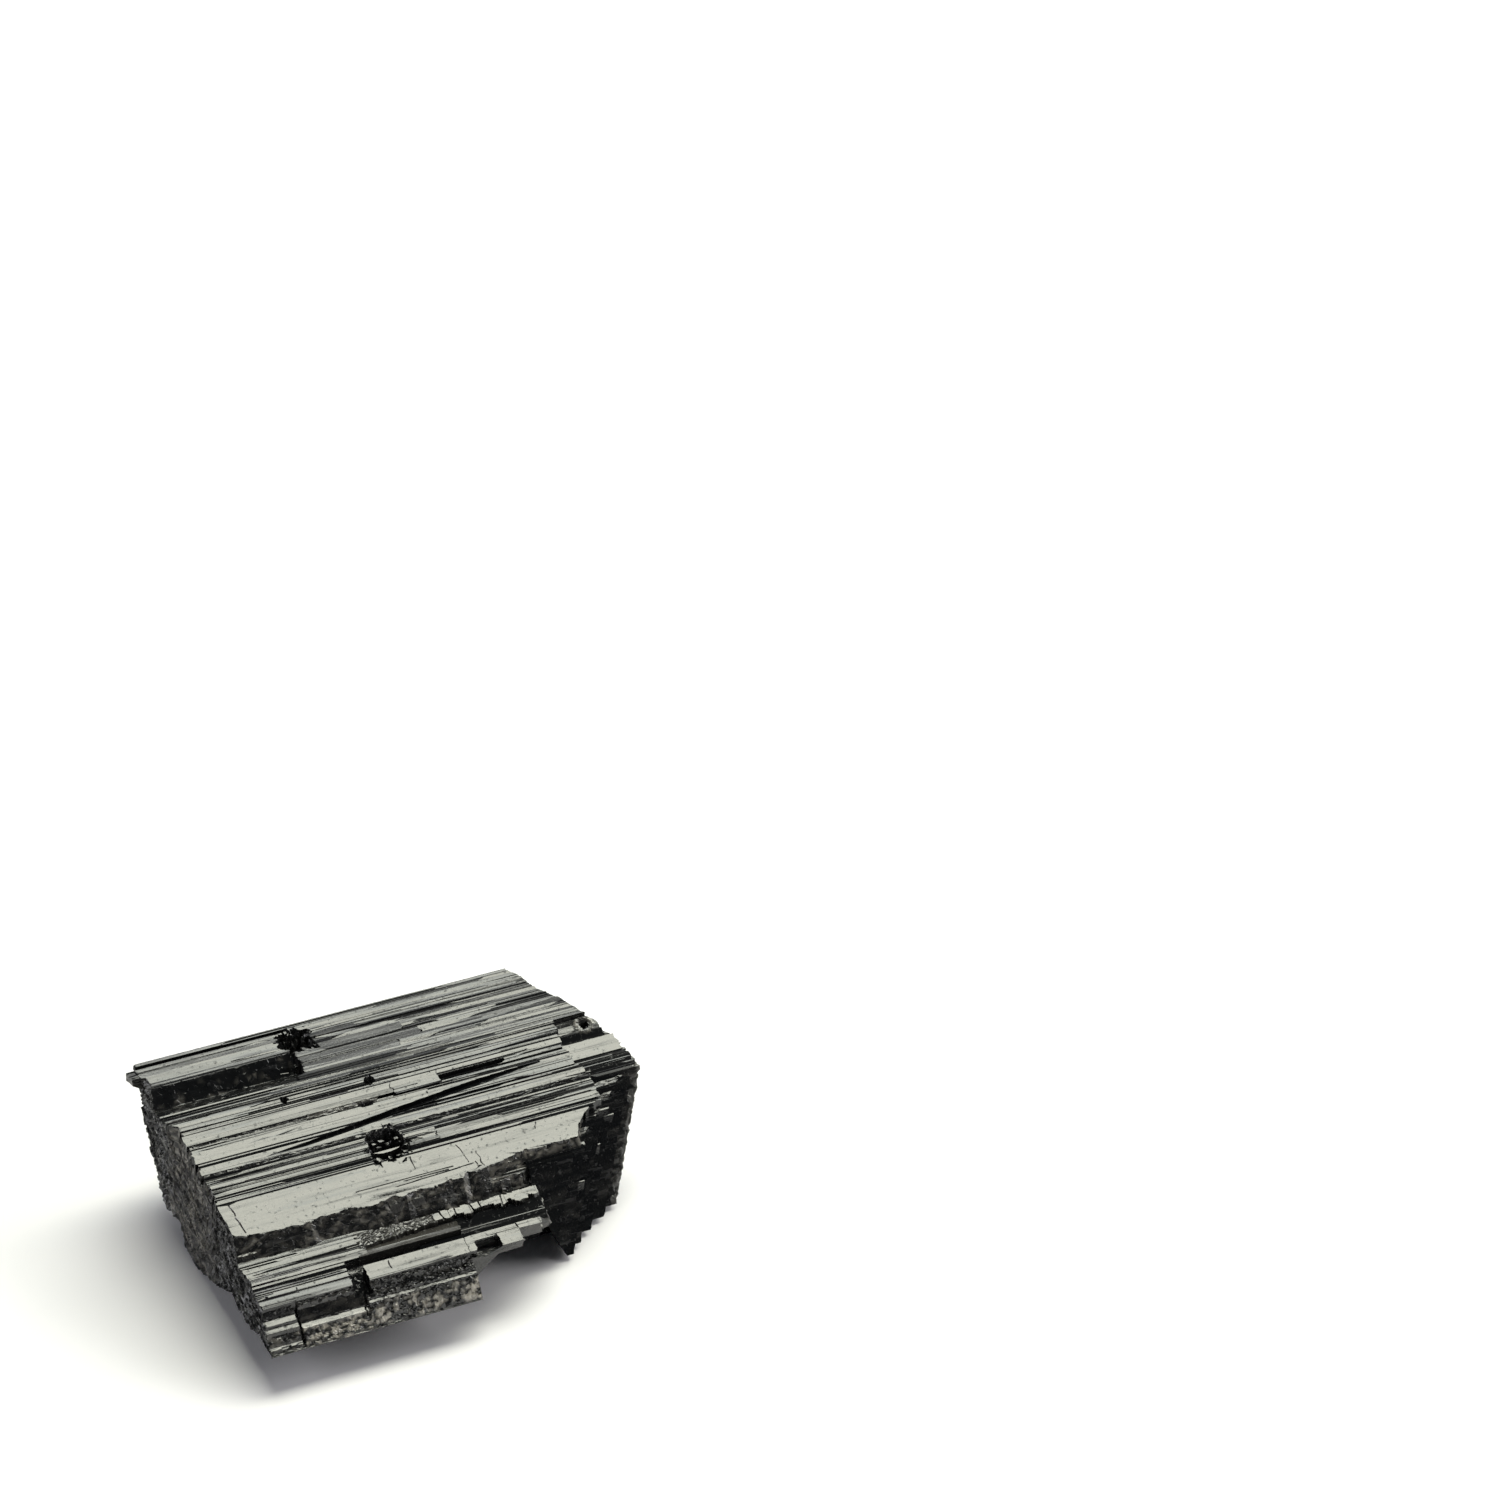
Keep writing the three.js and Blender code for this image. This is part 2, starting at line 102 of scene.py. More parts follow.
# A line of points with ragged teeth between its corners
def ragged(corners, spacing, depth, seed):
    draw = random_from(seed)
    points = []
    for first, last in zip(corners[:-1], corners[1:]):
        first = np.array(list(first) + [0.0] * (4 - len(first)))
        last = np.array(list(last) + [0.0] * (4 - len(last)))
        step = last - first
        length = math.hypot(step[0], step[1])
        pieces = max(1, math.floor(length / spacing + 0.5))
        for piece in range(pieces):
            share = (piece + ((draw() - 0.5) * 0.6 if piece > 0 else 0)) / pieces
            bite = (draw() - 0.5) * 2 * depth if piece > 0 else 0
            point = first + step * share
            point[0] += -step[1] / length * bite
            point[1] += step[0] / length * bite
            points.append(point)
    final = list(corners[-1])
    points.append(np.array(final + [0.0] * (4 - len(final))))
    return np.array(points)


# Smooth random field between -1 and 1
def noise(x, y, seed):
    table = np.random.default_rng(seed).random((97, 89)) * 2 - 1
    column = np.floor(x).astype(np.int64)
    row = np.floor(y).astype(np.int64)
    part_x = x - column
    part_y = y - row
    part_x = part_x * part_x * (3 - 2 * part_x)
    part_y = part_y * part_y * (3 - 2 * part_y)
    a = table[column % 97, row % 89]
    b = table[(column + 1) % 97, row % 89]
    c = table[column % 97, (row + 1) % 89]
    d = table[(column + 1) % 97, (row + 1) % 89]
    return (a * (1 - part_x) + b * part_x) * (1 - part_y) + (c * (1 - part_x) + d * part_x) * part_y


# The same field along one line
def wobble(x, seed):
    return noise(x, x * 0, seed)


# Field of flat chips, each with a height and a tilt of its own; values are about -1 to 1
def chips(x, y, seed, tilt=1.0):
    generator = np.random.default_rng(seed)
    spots = generator.random((61, 67, 2))
    looks = generator.random((61, 67, 3)) * 2 - 1
    column = np.floor(x).astype(np.int64)
    row = np.floor(y).astype(np.int64)
    nearest = np.full(x.shape, 9.0)
    value = np.zeros(x.shape)
    for offset_x in (-1, 0, 1):
        for offset_y in (-1, 0, 1):
            cell_x = column + offset_x
            cell_y = row + offset_y
            spot = spots[cell_x % 61, cell_y % 67]
            look = looks[cell_x % 61, cell_y % 67]
            away_x = x - cell_x - spot[..., 0]
            away_y = y - cell_y - spot[..., 1]
            distance = away_x * away_x + away_y * away_y
            closer = distance < nearest
            nearest = np.where(closer, distance, nearest)
            shape = look[..., 0] + tilt * (look[..., 1] * away_x + look[..., 2] * away_y)
            value = np.where(closer, shape, value)
    return value


def smooth_step(x, low, high):
    share = np.clip((x - low) / (high - low), 0, 1)
    return share * share * (3 - 2 * share)


# Height of the top before any strip is laid on it
def top_height(across):
    return TOP - np.maximum(0, across - FLAT) * SLOPE


def ledge_height(across):
    return LEDGE_HEIGHT - (across - LEDGE_START) * SLOPE


# Kinds of flat facets that run along the ridges: slopes in degrees with their shares, band widths, lengths
# after which a band changes, the height steps between bands, how much the facets twist along the ridges, and
# how dull they are
RIBS = {
    "broad": (
        [(0, 0.6), (1.5, 0.14), (-1.5, 0.12), (4, 0.07), (-4, 0.07)],
        (0.25, 0.9), (8, 40), 0.006, 0.012, 0.0,
    ),
    "clean": ([(0, 0.8), (1.2, 0.1), (-1.2, 0.1)], (0.3, 1.1), (10, 40), 0.005, 0.006, 0.0),
    "plain": (
        [(0, 0.42), (2, 0.1), (-2, 0.08), (5, 0.08), (-5, 0.1), (-36, 0.1), (30, 0.12)],
        (0.08, 0.36), (4, 24), 0.010, 0.03, 0.05,
    ),
    "lined": ([(0, 0.4), (-36, 0.2), (30, 0.22), (-8, 0.18)], (0.06, 0.2), (2, 12), 0.018, 0.04, 0.1),
    "fine": ([(0, 0.55), (-34, 0.12), (28, 0.15), (-7, 0.18)], (0.05, 0.16), (3, 14), 0.008, 0.03, 0.12),
    "grey": (
        [
            (0, 0.14), (3, 0.06), (7, 0.14), (12, 0.30), (-4, 0.05), (-9, 0.04), (-15, 0.14), (-24, 0.05),
            (26, 0.08),
        ],
        (0.10, 0.42), (5, 22), 0.010, 0.06, 0.15,
    ),
    "calm": (
        [(0, 0.55), (2, 0.15), (-3, 0.1), (9, 0.06), (-24, 0.07), (26, 0.07)],
        (0.08, 0.36), (4, 18), 0.008, 0.03, 0.25,
    ),
    "rough": ([(0, 0.3), (35, 0.25), (-30, 0.25), (15, 0.2)], (0.07, 0.22), (0.4, 2.4), 0.03, 0.0, 0.3),
    "dark": ([(0, 0.66), (6, 0.17), (-6, 0.17)], (0.12, 0.5), (3, 18), 0.02, 0.0, 0.05),
    "flank": ([(0, 0.7), (1.5, 0.15), (-1.5, 0.15)], (0.2, 0.9), (10, 40), 0.004, 0.0, 0.0),
}

# A facet with a slope over STEEP is only this wide to either side of its band's middle
STEEP = 0.3
STEEP_REACH = 0.06


def ribs(along, position, kind, seed):
    shares, widths, lengths, step, twist, _ = RIBS[kind]
    generator = np.random.default_rng(seed)
    slopes = np.tan(np.radians([slope for slope, _ in shares]))
    weights = np.array([weight for _, weight in shares])
    weights = weights / weights.sum()
    cells = int(60 / lengths[0]) + 2
    height = np.zeros(along.shape)
    place = position[0] - generator.uniform(0, widths[1])
    while place < position[-1] + 0.001:
        width = generator.uniform(*widths)
        cuts = np.cumsum(generator.uniform(*lengths, cells)) - 4 - generator.uniform(0, lengths[1])
        slant = generator.uniform(-16, 16)
        slope = generator.choice(slopes, cells + 1, p=weights)
        offset = generator.uniform(-step, step, cells + 1)
        rows = np.flatnonzero((position >= place) & (position < place + width))
        middle = place + width / 2
        place += width
        if len(rows) == 0:
            continue
        aside = (position[rows] - middle)[:, None]
        cell = np.searchsorted(cuts, along[rows] + slant * aside)
        reach = np.where(np.abs(slope[cell]) > STEEP, STEEP_REACH, 9.0)
        turned = slope[cell] + twist * noise(along[rows] / 5, 0 * aside + middle * 7, seed + 5)
        height[rows] = offset[cell] - turned * np.clip(aside, -reach, reach)
    return height


# One random value for each stretch along the ridges
def blocks(along, lengths, seed):
    generator = np.random.default_rng(seed)
    count = int(60 / lengths[0])
    cuts = np.cumsum(generator.uniform(*lengths, count)) - 5
    values = generator.random(count + 1) * 2 - 1
    return values[np.searchsorted(cuts, along)]


# Outline of the right end seen from above, with its shift at the foot, the same as the plain solid's
BROKEN_END = ragged([
    (36.2, -0.5, -2.4, 0),
    (37.6, 3.2, -2.8, 0),
    (39.2, 5.9, -3.2, 0),
    (40.3, 8.6, -3.8, 0),
    (42.3, 11.3, -5.8, 0),
    (RIGHT, 14.4, -7.6, 0.6),
], 1.1, 0.22, 31)

# Blades of the steep right flank, as across and along to, the same as the plain solid's
BLADES = [
    (23.1, 31.4), (22.8, 33.2), (22.3, 34.6), (21.2, 36.0), (19.8, 37.4), (18.3, 39.2), (16.9, 41.2),
    (15.5, RIGHT),
]


def blade_crest(across):
    return top_height(across) - 0.55


# How far each row of the body reaches to the right, seen from above
def row_end(across):
    core = [
        (15.45, 43.0), (15.5, 41.6), (15.9, 41.0), (18.9, 37.4), (19.8, 36.3), (21.2, 34.9), (22.0, 34.8),
        (22.5, 31.5), (22.9, 29.2), (27.2, 28.85), (27.4, 28.8), (27.45, 27.85), (28.05, 27.8), (28.1, 25.5),
        (29.35, 25.4), (29.4, 20.4), (32.0, 20.4),
    ]
    outline = np.vstack([BROKEN_END[:, [1, 0]], np.array(core)])
    return np.interp(across, outline[:, 0], outline[:, 1])


# Where the right end of the body cuts off at a given height
def right_end(across, height):
    across = np.asarray(across, float)
    height = np.broadcast_to(np.asarray(height, float), across.shape)
    share = (TOP + 1 - height) / (TOP + 2)
    places = list(BROKEN_END[:, 1]) + [15.9, 18.9, 21.2, 22.4, 27.2]
    reach = list(BROKEN_END[:, 0]) + [41.0, 37.4, 34.6, 29.6, 28.9]
    shift = list(BROKEN_END[:, 2]) + [-5.8, -4.4, -3.4, -0.6, -0.4]
    body = np.interp(across, places, reach) + np.interp(across, places, shift) * share
    at_top = height > np.where(across > 23, ledge_height(across), top_height(across)) - 1.0
    body = np.where(at_top | (across > 23), row_end(across), body)
    return np.minimum(body, row_end(across))


# The broken left end is fibrous: this value stays the same along a fibre
def fibre_level(across, height):
    return height + 0.38 * across + 0.12 * noise(across / 1.7, height / 1.3, 301)


# Where the broken left end cuts the stone
def left_end(across, height):
    across = np.asarray(across, float)
    height = np.broadcast_to(np.asarray(height, float), across.shape)
    edge = np.interp(
        across,
        [0, 2, 3.4, 3.9, 7.6, 9.2, 9.7, 11, 16, 22, 27.5, 28.8, 29.4, 31],
        [-0.5, -0.4, -0.1, -0.6, -0.9, -0.8, 0.1, -0.2, 0.15, 0.3, 0.4, 0.7, 0.2, 0.4],
    )
    cut = edge * np.clip(1 - (top_height(across) - height) / 5, 0.2, 1)
    level = fibre_level(across, height)
    cut = cut + 0.15 * noise(across / 3.1, level / 0.9, 302)
    cut = cut + 0.11 * chips(across / 1.5, level / 0.24, 303, 1.6)
    cut = cut + 0.06 * chips(across / 0.7, level / 0.1, 304, 1.6)
    tip = (across > 0.6) & (across < 2.1) & (height > TOP - 0.75)
    return np.where(tip, -1.72 + 0.25 * np.abs(across - 1.1) + 0.05 * noise(across * 4, height * 4, 305), cut)


# Positions of the rows that run along the ridges
def row_positions(edges):
    fine = np.arange(BACK_REACH, FRONT_REACH, 0.001)
    density = np.full(fine.shape, 1 / ROW_STEP)
    density[fine < 0.3] *= 3
    density[(fine > 22.3) & (fine < 24.5)] *= 3.2
    density[fine > 28.9] *= 2.2
    amount = np.concatenate([[0], np.cumsum(density) * 0.001])
    place = np.concatenate([fine, [FRONT_REACH]])
    rows = np.interp(np.linspace(0, amount[-1], int(amount[-1]) + 1), amount, place)
    sides = np.array([edge + side for edge in edges for side in (-0.008, 0.008)])
    rows = np.unique(np.round(np.concatenate([rows, sides]), 4))
    keep = [True]
    for first, last in zip(rows[:-1], rows[1:]):
        keep.append(last - first > 0.006)
    rows = rows[np.array(keep)]
    rows = rows[(rows >= BACK_REACH) & (rows <= FRONT_REACH)]
    rows[0] = BACK_REACH
    rows[-1] = FRONT_REACH
    return rows


# Strips of the top: across from and to, along from and to, lift, extra tilt in degrees, kind, pale crust. A
# strip that tilts 12 degrees or more towards the front, or 22 or more towards the back, mirrors no light and
# looks black.
END = 99
STRIPS = [
    (0.0, 0.38, -0.8, END, -0.06, 9, "plain"),
    (0.85, 2.2, -0.8, 13.6, 0.04, 4, "calm"),
    (2.2, 2.34, -0.9, 13.5, 0.0, -20, "broad"),
    (2.34, 3.15, -0.9, 13.4, 0.04, 12, "broad"),
    (3.15, 3.3, -0.9, 13.3, -0.02, -14, "broad"),
    (3.3, 4.4, -0.9, 13.2, 0.0, 6, "fine"),
    (0.4, 1.3, 13.7, END, 0.0, 2, "grey"),
    (1.3, 1.7, 14.2, END, -0.06, 3, "grey"),
    (1.7, 2.0, 14.6, END, 0.02, 10, "fine"),
    (2.0, 2.6, 14.8, END, 0.0, -4, "grey"),
    (2.6, 3.1, 15.1, END, -0.1, -3, "grey"),
    (3.1, 3.6, 14.6, END, -0.05, 2, "grey"),
    (3.6, 4.6, 13.4, 24.0, 0.03, 2, "calm"),
    (3.6, 4.3, 24.0, END, 0.03, 4, "grey"),
    (4.3, 4.6, 24.0, END, 0.0, -6, "grey"),
    (4.6, 4.8, 13.5, END, 0.04, 11, "fine"),
    (4.8, 5.7, 13.6, 25.5, -0.05, 1, "calm"),
    (4.8, 5.7, 25.5, END, -0.05, 3, "grey"),
    (5.7, 6.8, 13.3, 23.0, 0.02, 1, "calm"),
    (5.7, 6.3, 23.0, END, 0.02, -2, "grey"),
    (6.3, 6.8, 23.0, END, 0.04, 8, "grey"),
    (6.8, 7.05, 13.3, END, 0.02, 10, "fine"),
    (7.05, 7.9, 12.6, END, -0.03, 3, "grey"),
    (7.9, 8.35, 8.5, END, -0.08, 9, "grey"),
    (8.35, 8.8, 8.5, END, -0.06, -5, "grey"),
    (8.8, 9.1, -0.9, 37.4, 0.0, 10, "fine"),
    (9.1, 9.3, -0.9, 37.4, -0.03, 20, "broad"),
    (9.3, 9.9, -0.7, 37.2, 0.04, -1, "plain"),
    (9.9, 10.3, -0.7, 37.2, 0.02, -3, "fine"),
    (10.3, 10.42, 0.1, 37.1, -0.05, 26, "broad"),
    (10.42, 10.72, 0.1, 37.1, 0.0, 0, "fine"),
    (10.72, 10.84, 0.0, 37.2, -0.06, 26, "broad"),
    (10.84, 11.95, -0.2, 24.0, 0.04, 0, "broad"),
    (10.84, 11.42, 24.0, 37.0, 0.04, 0, "plain"),
    (11.42, 11.95, 24.0, 37.0, 0.02, -2, "lined"),
    (11.1, 12.3, 20.0, 24.6, 0.12, 0, "fine"),
    (11.95, 12.25, 0.0, 11.5, -0.08, -10, "rough"),
    (11.95, 12.45, 11.5, 18.4, 0.0, 0, "rough", 0.08),
    (12.0, 12.5, 24.4, 37.1, -0.06, -4, "lined"),
    (12.25, 12.36, 0.0, 20.0, -0.02, 4, "broad"),
    (12.36, 12.54, 0.0, 37.1, -0.06, 24, "broad"),
    (12.54, 14.0, 0.0, 23.0, 0.0, 0, "broad"),
    (12.54, 13.2, 23.0, 37.2, 0.0, 1, "plain"),
    (13.2, 14.0, 23.0, 37.2, 0.0, -2, "plain"),
    (14.0, 14.12, 0.1, 16.0, -0.05, 26, "broad"),
    (14.12, 14.32, 0.1, 37.5, -0.02, 0, "fine"),
    (14.32, 14.48, 0.1, 37.5, -0.05, 26, "broad"),
    (14.48, 15.3, 0.0, 37.8, -0.04, 0, "plain"),
    (15.3, 15.6, 0.1, 38.0, -0.08, 8, "rough"),
    (15.6, 15.84, 0.1, 38.0, -0.10, 24, "broad"),
    (15.84, 16.1, 0.1, 38.0, -0.06, 2, "fine"),
    (16.1, 16.55, 0.1, 38.0, -0.10, -6, "lined"),
    (16.55, 18.02, 0.2, 22.0, 0.0, -1, "plain"),
    (16.55, 17.3, 22.0, 37.9, 0.0, -1, "lined"),
    (17.3, 18.02, 22.0, 37.9, 0.0, 1, "plain"),
    (18.02, 18.2, 0.2, 37.8, -0.06, 22, "broad"),
    (18.2, 18.4, 0.2, 37.8, -0.10, -8, "lined"),
    (18.4, 18.62, 0.2, 37.4, -0.04, 0, "fine"),
    (18.62, 18.86, 0.2, 36.9, -0.07, 22, "broad"),
    (0.85, 2.2, -1.8, -0.7, -0.02, -6, "lined"),
]

SHELVES = [
    (8.7, 10.4, 36.6, 41.3, -0.5, 2, "grey"),
    (10.4, 11.4, 36.6, 41.6, -0.85, 28, "dark"),
    (11.4, 13.2, 36.4, 42.3, -0.55, 0, "broad"),
    (13.2, 13.45, 36.4, 42.4, -0.64, 24, "dark"),
    (13.45, 13.58, 36.4, 42.7, -0.64, 0, "fine"),
    (13.58, 14.0, 36.4, 42.8, -0.72, 17, "dark"),
    (14.0, 14.1, 36.4, 42.8, -0.70, -2, "fine"),
    (14.1, 14.5, 36.4, 42.8, -0.76, 17, "dark"),
    (14.5, 14.62, 36.4, 42.9, -0.72, -5, "fine"),
    (14.62, 15.2, 36.4, 43.0, -0.78, 15, "dark"),
    (15.2, 15.45, 36.4, 43.0, -0.80, -7, "grey"),
]

# Blocks of the ledge: across from and to, along from and to, lift, extra tilt, kind, pale crust
LEDGES = [
    (23.55, 24.25, -0.9, 12.8, -0.10, -10, "calm"),
    (23.4, 24.1, 12.0, 28.8, -0.45, 18, "dark"),
    (24.25, 26.5, -0.9, 11.6, 0.0, 0, "fine"),
    (25.2, 26.55, 10.6, 20.5, -0.16, -19, "broad", 0.06),
    (25.0, 26.1, 18.5, 28.9, -0.55, 20, "dark"),
    (26.1, 26.25, 18.5, 28.9, -0.62, -4, "fine"),
    (26.25, 27.35, 16.5, 28.9, -0.70, 20, "dark"),
    (26.6, 26.82, -0.9, 9.2, 0.0, 2, "fine"),
    (26.82, 27.0, -0.9, 9.2, -0.08, 24, "broad"),
    (27.0, 27.5, -0.9, 9.2, -0.08, -8, "lined"),
    (27.5, 29.1, -0.9, 9.15, -0.04, -6, "plain"),
    (27.5, 29.1, 10.5, 21.0, 0.08, 0, "broad"),
    (27.4, 28.3, 20.9, 25.4, 0.08, 0, "fine"),
    (28.0, 29.38, 23.3, 25.5, 0.12, 0, "broad"),
    (27.4, 28.08, 25.5, 27.85, 0.05, 0, "broad"),
]

MORE_EDGES = {0.35, 1.0, 18.85, 26.55, 29.2}
EDGES = sorted({edge for strip in STRIPS + SHELVES + LEDGES for edge in strip[:2]} | MORE_EDGES)

ROWS = row_positions(EDGES)
row_count = len(ROWS)


def nominal_height(across):
    return np.interp(
        across,
        [BACK_REACH, 0.02, FLAT, 22.7, 23.3, 29.2, FRONT_REACH],
        [12.7, TOP - 0.1, TOP, 9.76, 8.2, 6.7, 3.6],
    )


# Along position of every grid point: rows run from the left end to the right end and share their stations up
# to SPLIT
SPLIT = 20.0
ROW_LEFT = left_end(ROWS, nominal_height(ROWS))
ROW_RIGHT = row_end(ROWS) + 0.05 * wobble(ROWS / 0.4, 300)
STATION = np.linspace(0, 1, STATIONS)
SPLIT_SHARE = 0.47
UNDER_STATION = np.append(STATION[::4], 1.0)


def spread(left, right, station):
    near = np.clip(station / SPLIT_SHARE, 0, 1)
    far = np.clip((station - SPLIT_SHARE) / (1 - SPLIT_SHARE), 0, 1)
    return left[:, None] + (SPLIT - left)[:, None] * near[None, :] + (right - SPLIT)[:, None] * far[None, :]


ALONG = spread(ROW_LEFT, ROW_RIGHT, STATION)
ACROSS = np.repeat(ROWS[:, None], STATIONS, axis=1)


# The stone's top while it is built: height, how dull each point is and how pale it is; the paleness is pale
# crust in most places and painted glints and highlights in a few
class Top:
    def __init__(self, height, grain, paleness):
        self.height = height
        self.grain = grain
        self.paleness = paleness

    def rows(self, across_from, across_to):
        rows = np.flatnonzero((ROWS > across_from) & (ROWS < across_to))
        return rows, ALONG[rows], ACROSS[rows]

    def set_to(self, rows, height, inside, grain, paleness=0.0):
        self.height[rows] = np.where(inside, height, self.height[rows])
        self.grain[rows] = np.where(inside, grain, self.grain[rows])
        self.paleness[rows] = np.where(inside, paleness, self.paleness[rows])

    def raise_to(self, rows, height, inside, grain, paleness=0.0):
        self.set_to(rows, height, inside & (height > self.height[rows]), grain, paleness)

    def cut_to(self, rows, height, inside, grain, paleness=0.0):
        self.set_to(rows, height, inside & (height < self.height[rows]), grain, paleness)


def lay_strip(top, strip, base, seed):
    across_from, across_to, along_from, along_to, lift, tilt, kind = strip[:7]
    paleness = strip[7] if len(strip) > 7 else 0.0
    rows, along, across = top.rows(across_from, across_to)
    position = ROWS[rows]
    middle = (across_from + across_to) / 2
    plane = base(position) + lift - math.tan(math.radians(tilt)) * (position - middle)
    wave = 0.014 * noise(along / 5, across / 1.5, seed + 1)
    height = plane[:, None] + ribs(along, position, kind, seed) + wave
    if kind == "rough":
        height = height + 0.05 * chips(along / 0.5, across / 0.22, seed + 3, 1.5)
    jag = 0.15 * wobble(position / 0.3, seed + 2)[:, None]
    inside = (along > along_from + jag) & (along < along_to + jag)
    top.raise_to(rows, height, inside, RIBS[kind][-1], paleness)


# The widest strip and its ragged front edge
def broad_edge(along, teeth=1.0):
    line = ragged([
        (-0.9, 21.9), (1.1, 22.4), (3.0, 22.75), (20.2, 22.7), (25.0, 22.1), (29.8, 21.6), (34.2, 21.5),
    ], 0.9, 0.22, 11)
    edge = np.interp(along, line[:, 0], line[:, 1])
    edge = edge + teeth * (0.09 * blocks(along, (0.15, 0.7), 21) + 0.045 * blocks(along, (0.05, 0.16), 22))
    right = np.interp(along, [34.2, 34.6, 35.3, 36.5], [21.5, 20.6, 19.8, 18.85])
    return np.where(along > 34.2, right + 0.1 * teeth * blocks(along, (0.06, 0.25), 23), edge)


def sill_edge(along):
    line = ragged([(-0.9, 23.1), (12, 23.2), (21, 23.3), (29, 22.7), (34.6, 22.0)], 1.2, 0.25, 23)
    return np.interp(along, line[:, 0], line[:, 1]) + 0.07 * blocks(along, (0.1, 0.5), 24)


def add_broad_strip(top):
    rows, along, across = top.rows(18.85, 24.8)
    edge = broad_edge(along)
    flat = top_height(across) + 0.02 + ribs(along, ROWS[rows], "clean", 77)
    flat = flat + 0.012 * noise(along / 7, across / 2, 78)
    # hairline cracks and a few fine lines on the strip
    for middle, lean, across_from, across_to, depth in (
        (1.15, 0.10, 18.9, 22.2, 0.05), (18.6, -0.05, 19.0, 20.4, 0.03), (23.2, 0.16, 19.0, 21.2, 0.06),
        (24.6, 0.04, 20.2, 22.0, 0.06), (31.0, -0.2, 18.9, 19.6, 0.05), (24.0, 0.3, 21.2, 21.9, 0.04),
    ):
        wander = 0.10 * wobble(across / 0.5, int(middle * 10)) + lean * (across - across_from)
        crack = (np.abs(along - middle - wander) < 0.045) & (across > across_from) & (across < across_to)
        flat = np.where(crack, flat - depth, flat)
    for along_from, along_to, place, lean in (
        (12.5, 22.0, 21.15, 0.0), (16.0, 24.0, 21.75, -0.045), (17.0, 21.5, 21.35, 0.0),
    ):
        middle = place + lean * (along - along_from) + 0.02 * wobble(along / 0.7, 31)
        line = np.abs(across - middle) < 0.035
        flat = np.where(line & (along > along_from) & (along < along_to), flat - 0.03, flat)
    beyond = across - edge
    rubble = chips(along / 0.5, across / 0.16 + top_height(across) / 0.5, 79, 1.8)
    smooth_edge = broad_edge(along, 0.0) - 0.05
    riser = top_height(smooth_edge) - np.maximum(across - smooth_edge, 0) * 1.5 + 0.035 * rubble
    riser = riser + 0.12 * noise(along / 0.9, across / 0.5, 80)
    sill_line = sill_edge(along)
    lines = ribs(along, ROWS[rows], "lined", 82) * 1.6
    layered = 0.06 * chips(along / 0.5, across / 0.2, 81, 1.6) + 0.10 * blocks(along, (0.3, 1.4), 83)
    share = smooth_step(along, 24.5, 26.0)
    drop = np.interp(along, [10, 16], [1.15, 0.9])
    sill = top_height(across) - drop + layered * (1 - share) + lines * share
    sill = sill - 0.35 * (1 - share) * np.clip(across - sill_line + 0.5, 0, 9)
    sill = np.where(across > sill_line, sill - (across - sill_line) * 1.7, sill)
    broken = np.maximum(np.where(along < 35.4, sill, -9), np.where(along < 34.8, riser, -9))
    top.raise_to(rows, np.where(beyond < 0, flat, -9), along < 36.5, 0.0)
    crumbs = np.clip(chips(along / 0.3, across / 0.14, 84, 0.3) * 1.8 - 0.3, 0, 1)
    crumbs = crumbs * np.clip(0.7 + noise(along / 1.1, across / 0.8, 87), 0.1, 1)
    top.raise_to(rows, np.where(beyond >= 0, broken, -9), along < 35.4, 0.2, 0.30 * crumbs)
    add_lump(top)
    add_sill_lines(top)


# The square lump that stands on the sill
def add_lump(top):
    rows, along, across = top.rows(22.1, 23.7)
    skewed = along - 0.35 * (across - 22.2)
    facets = 0.05 * chips(along / 0.6, across / 0.4, 85, 1.4)
    height = top_height(22.3) - 0.10 - (across - 22.3) * 0.62 + facets
    front = np.where(across > 23.1, height - (across - 23.1) * 1.7, height)
    inside = (skewed > 14.7) & (skewed < 18.0) & (across > 22.2)
    top.raise_to(rows, front, inside, 0.55, 0.015)


# Thin lit edges below the riser, as along from and to, across at both ends, width and height over the ledge
SILL_LINES = [
    (-0.4, 3.0, 23.42, 23.36, 0.17, 0.30), (2.6, 5.4, 23.30, 23.24, 0.12, 0.36),
    (6.4, 9.9, 23.16, 23.02, 0.13, 0.42), (10.4, 12.2, 23.2, 23.3, 0.10, 0.32),
    (19.6, 21.4, 23.0, 22.9, 0.12, 0.45), (22.2, 24.0, 22.9, 22.7, 0.10, 0.5),
]


def add_sill_lines(top):
    rows, along, across = top.rows(22.4, 23.8)
    for place, (along_from, along_to, across_from, across_to, width, lift) in enumerate(SILL_LINES):
        share = (along - along_from) / (along_to - along_from)
        middle = across_from + (across_to - across_from) * share
        middle = middle + 0.04 * wobble(along / 0.6, 86 + place)
        half = 0.5 * width * (1 + 0.7 * blocks(along, (0.1, 0.5), 96 + place))
        height = ledge_height(across) + lift + 0.02 * chips(along / 0.3, across / 0.1, 106 + place, 1.2)
        inside = (share > 0) & (share < 1) & (np.abs(across - middle) < half)
        # the pale colour laid on each edge paints part of its highlight
        top.raise_to(rows, height, inside, 0.1, 0.10)
        front = ledge_height(across) + lift - (across - middle - half) * 1.7
        top.raise_to(rows, front, (share > 0) & (share < 1) & (across >= middle + half), 0.1)


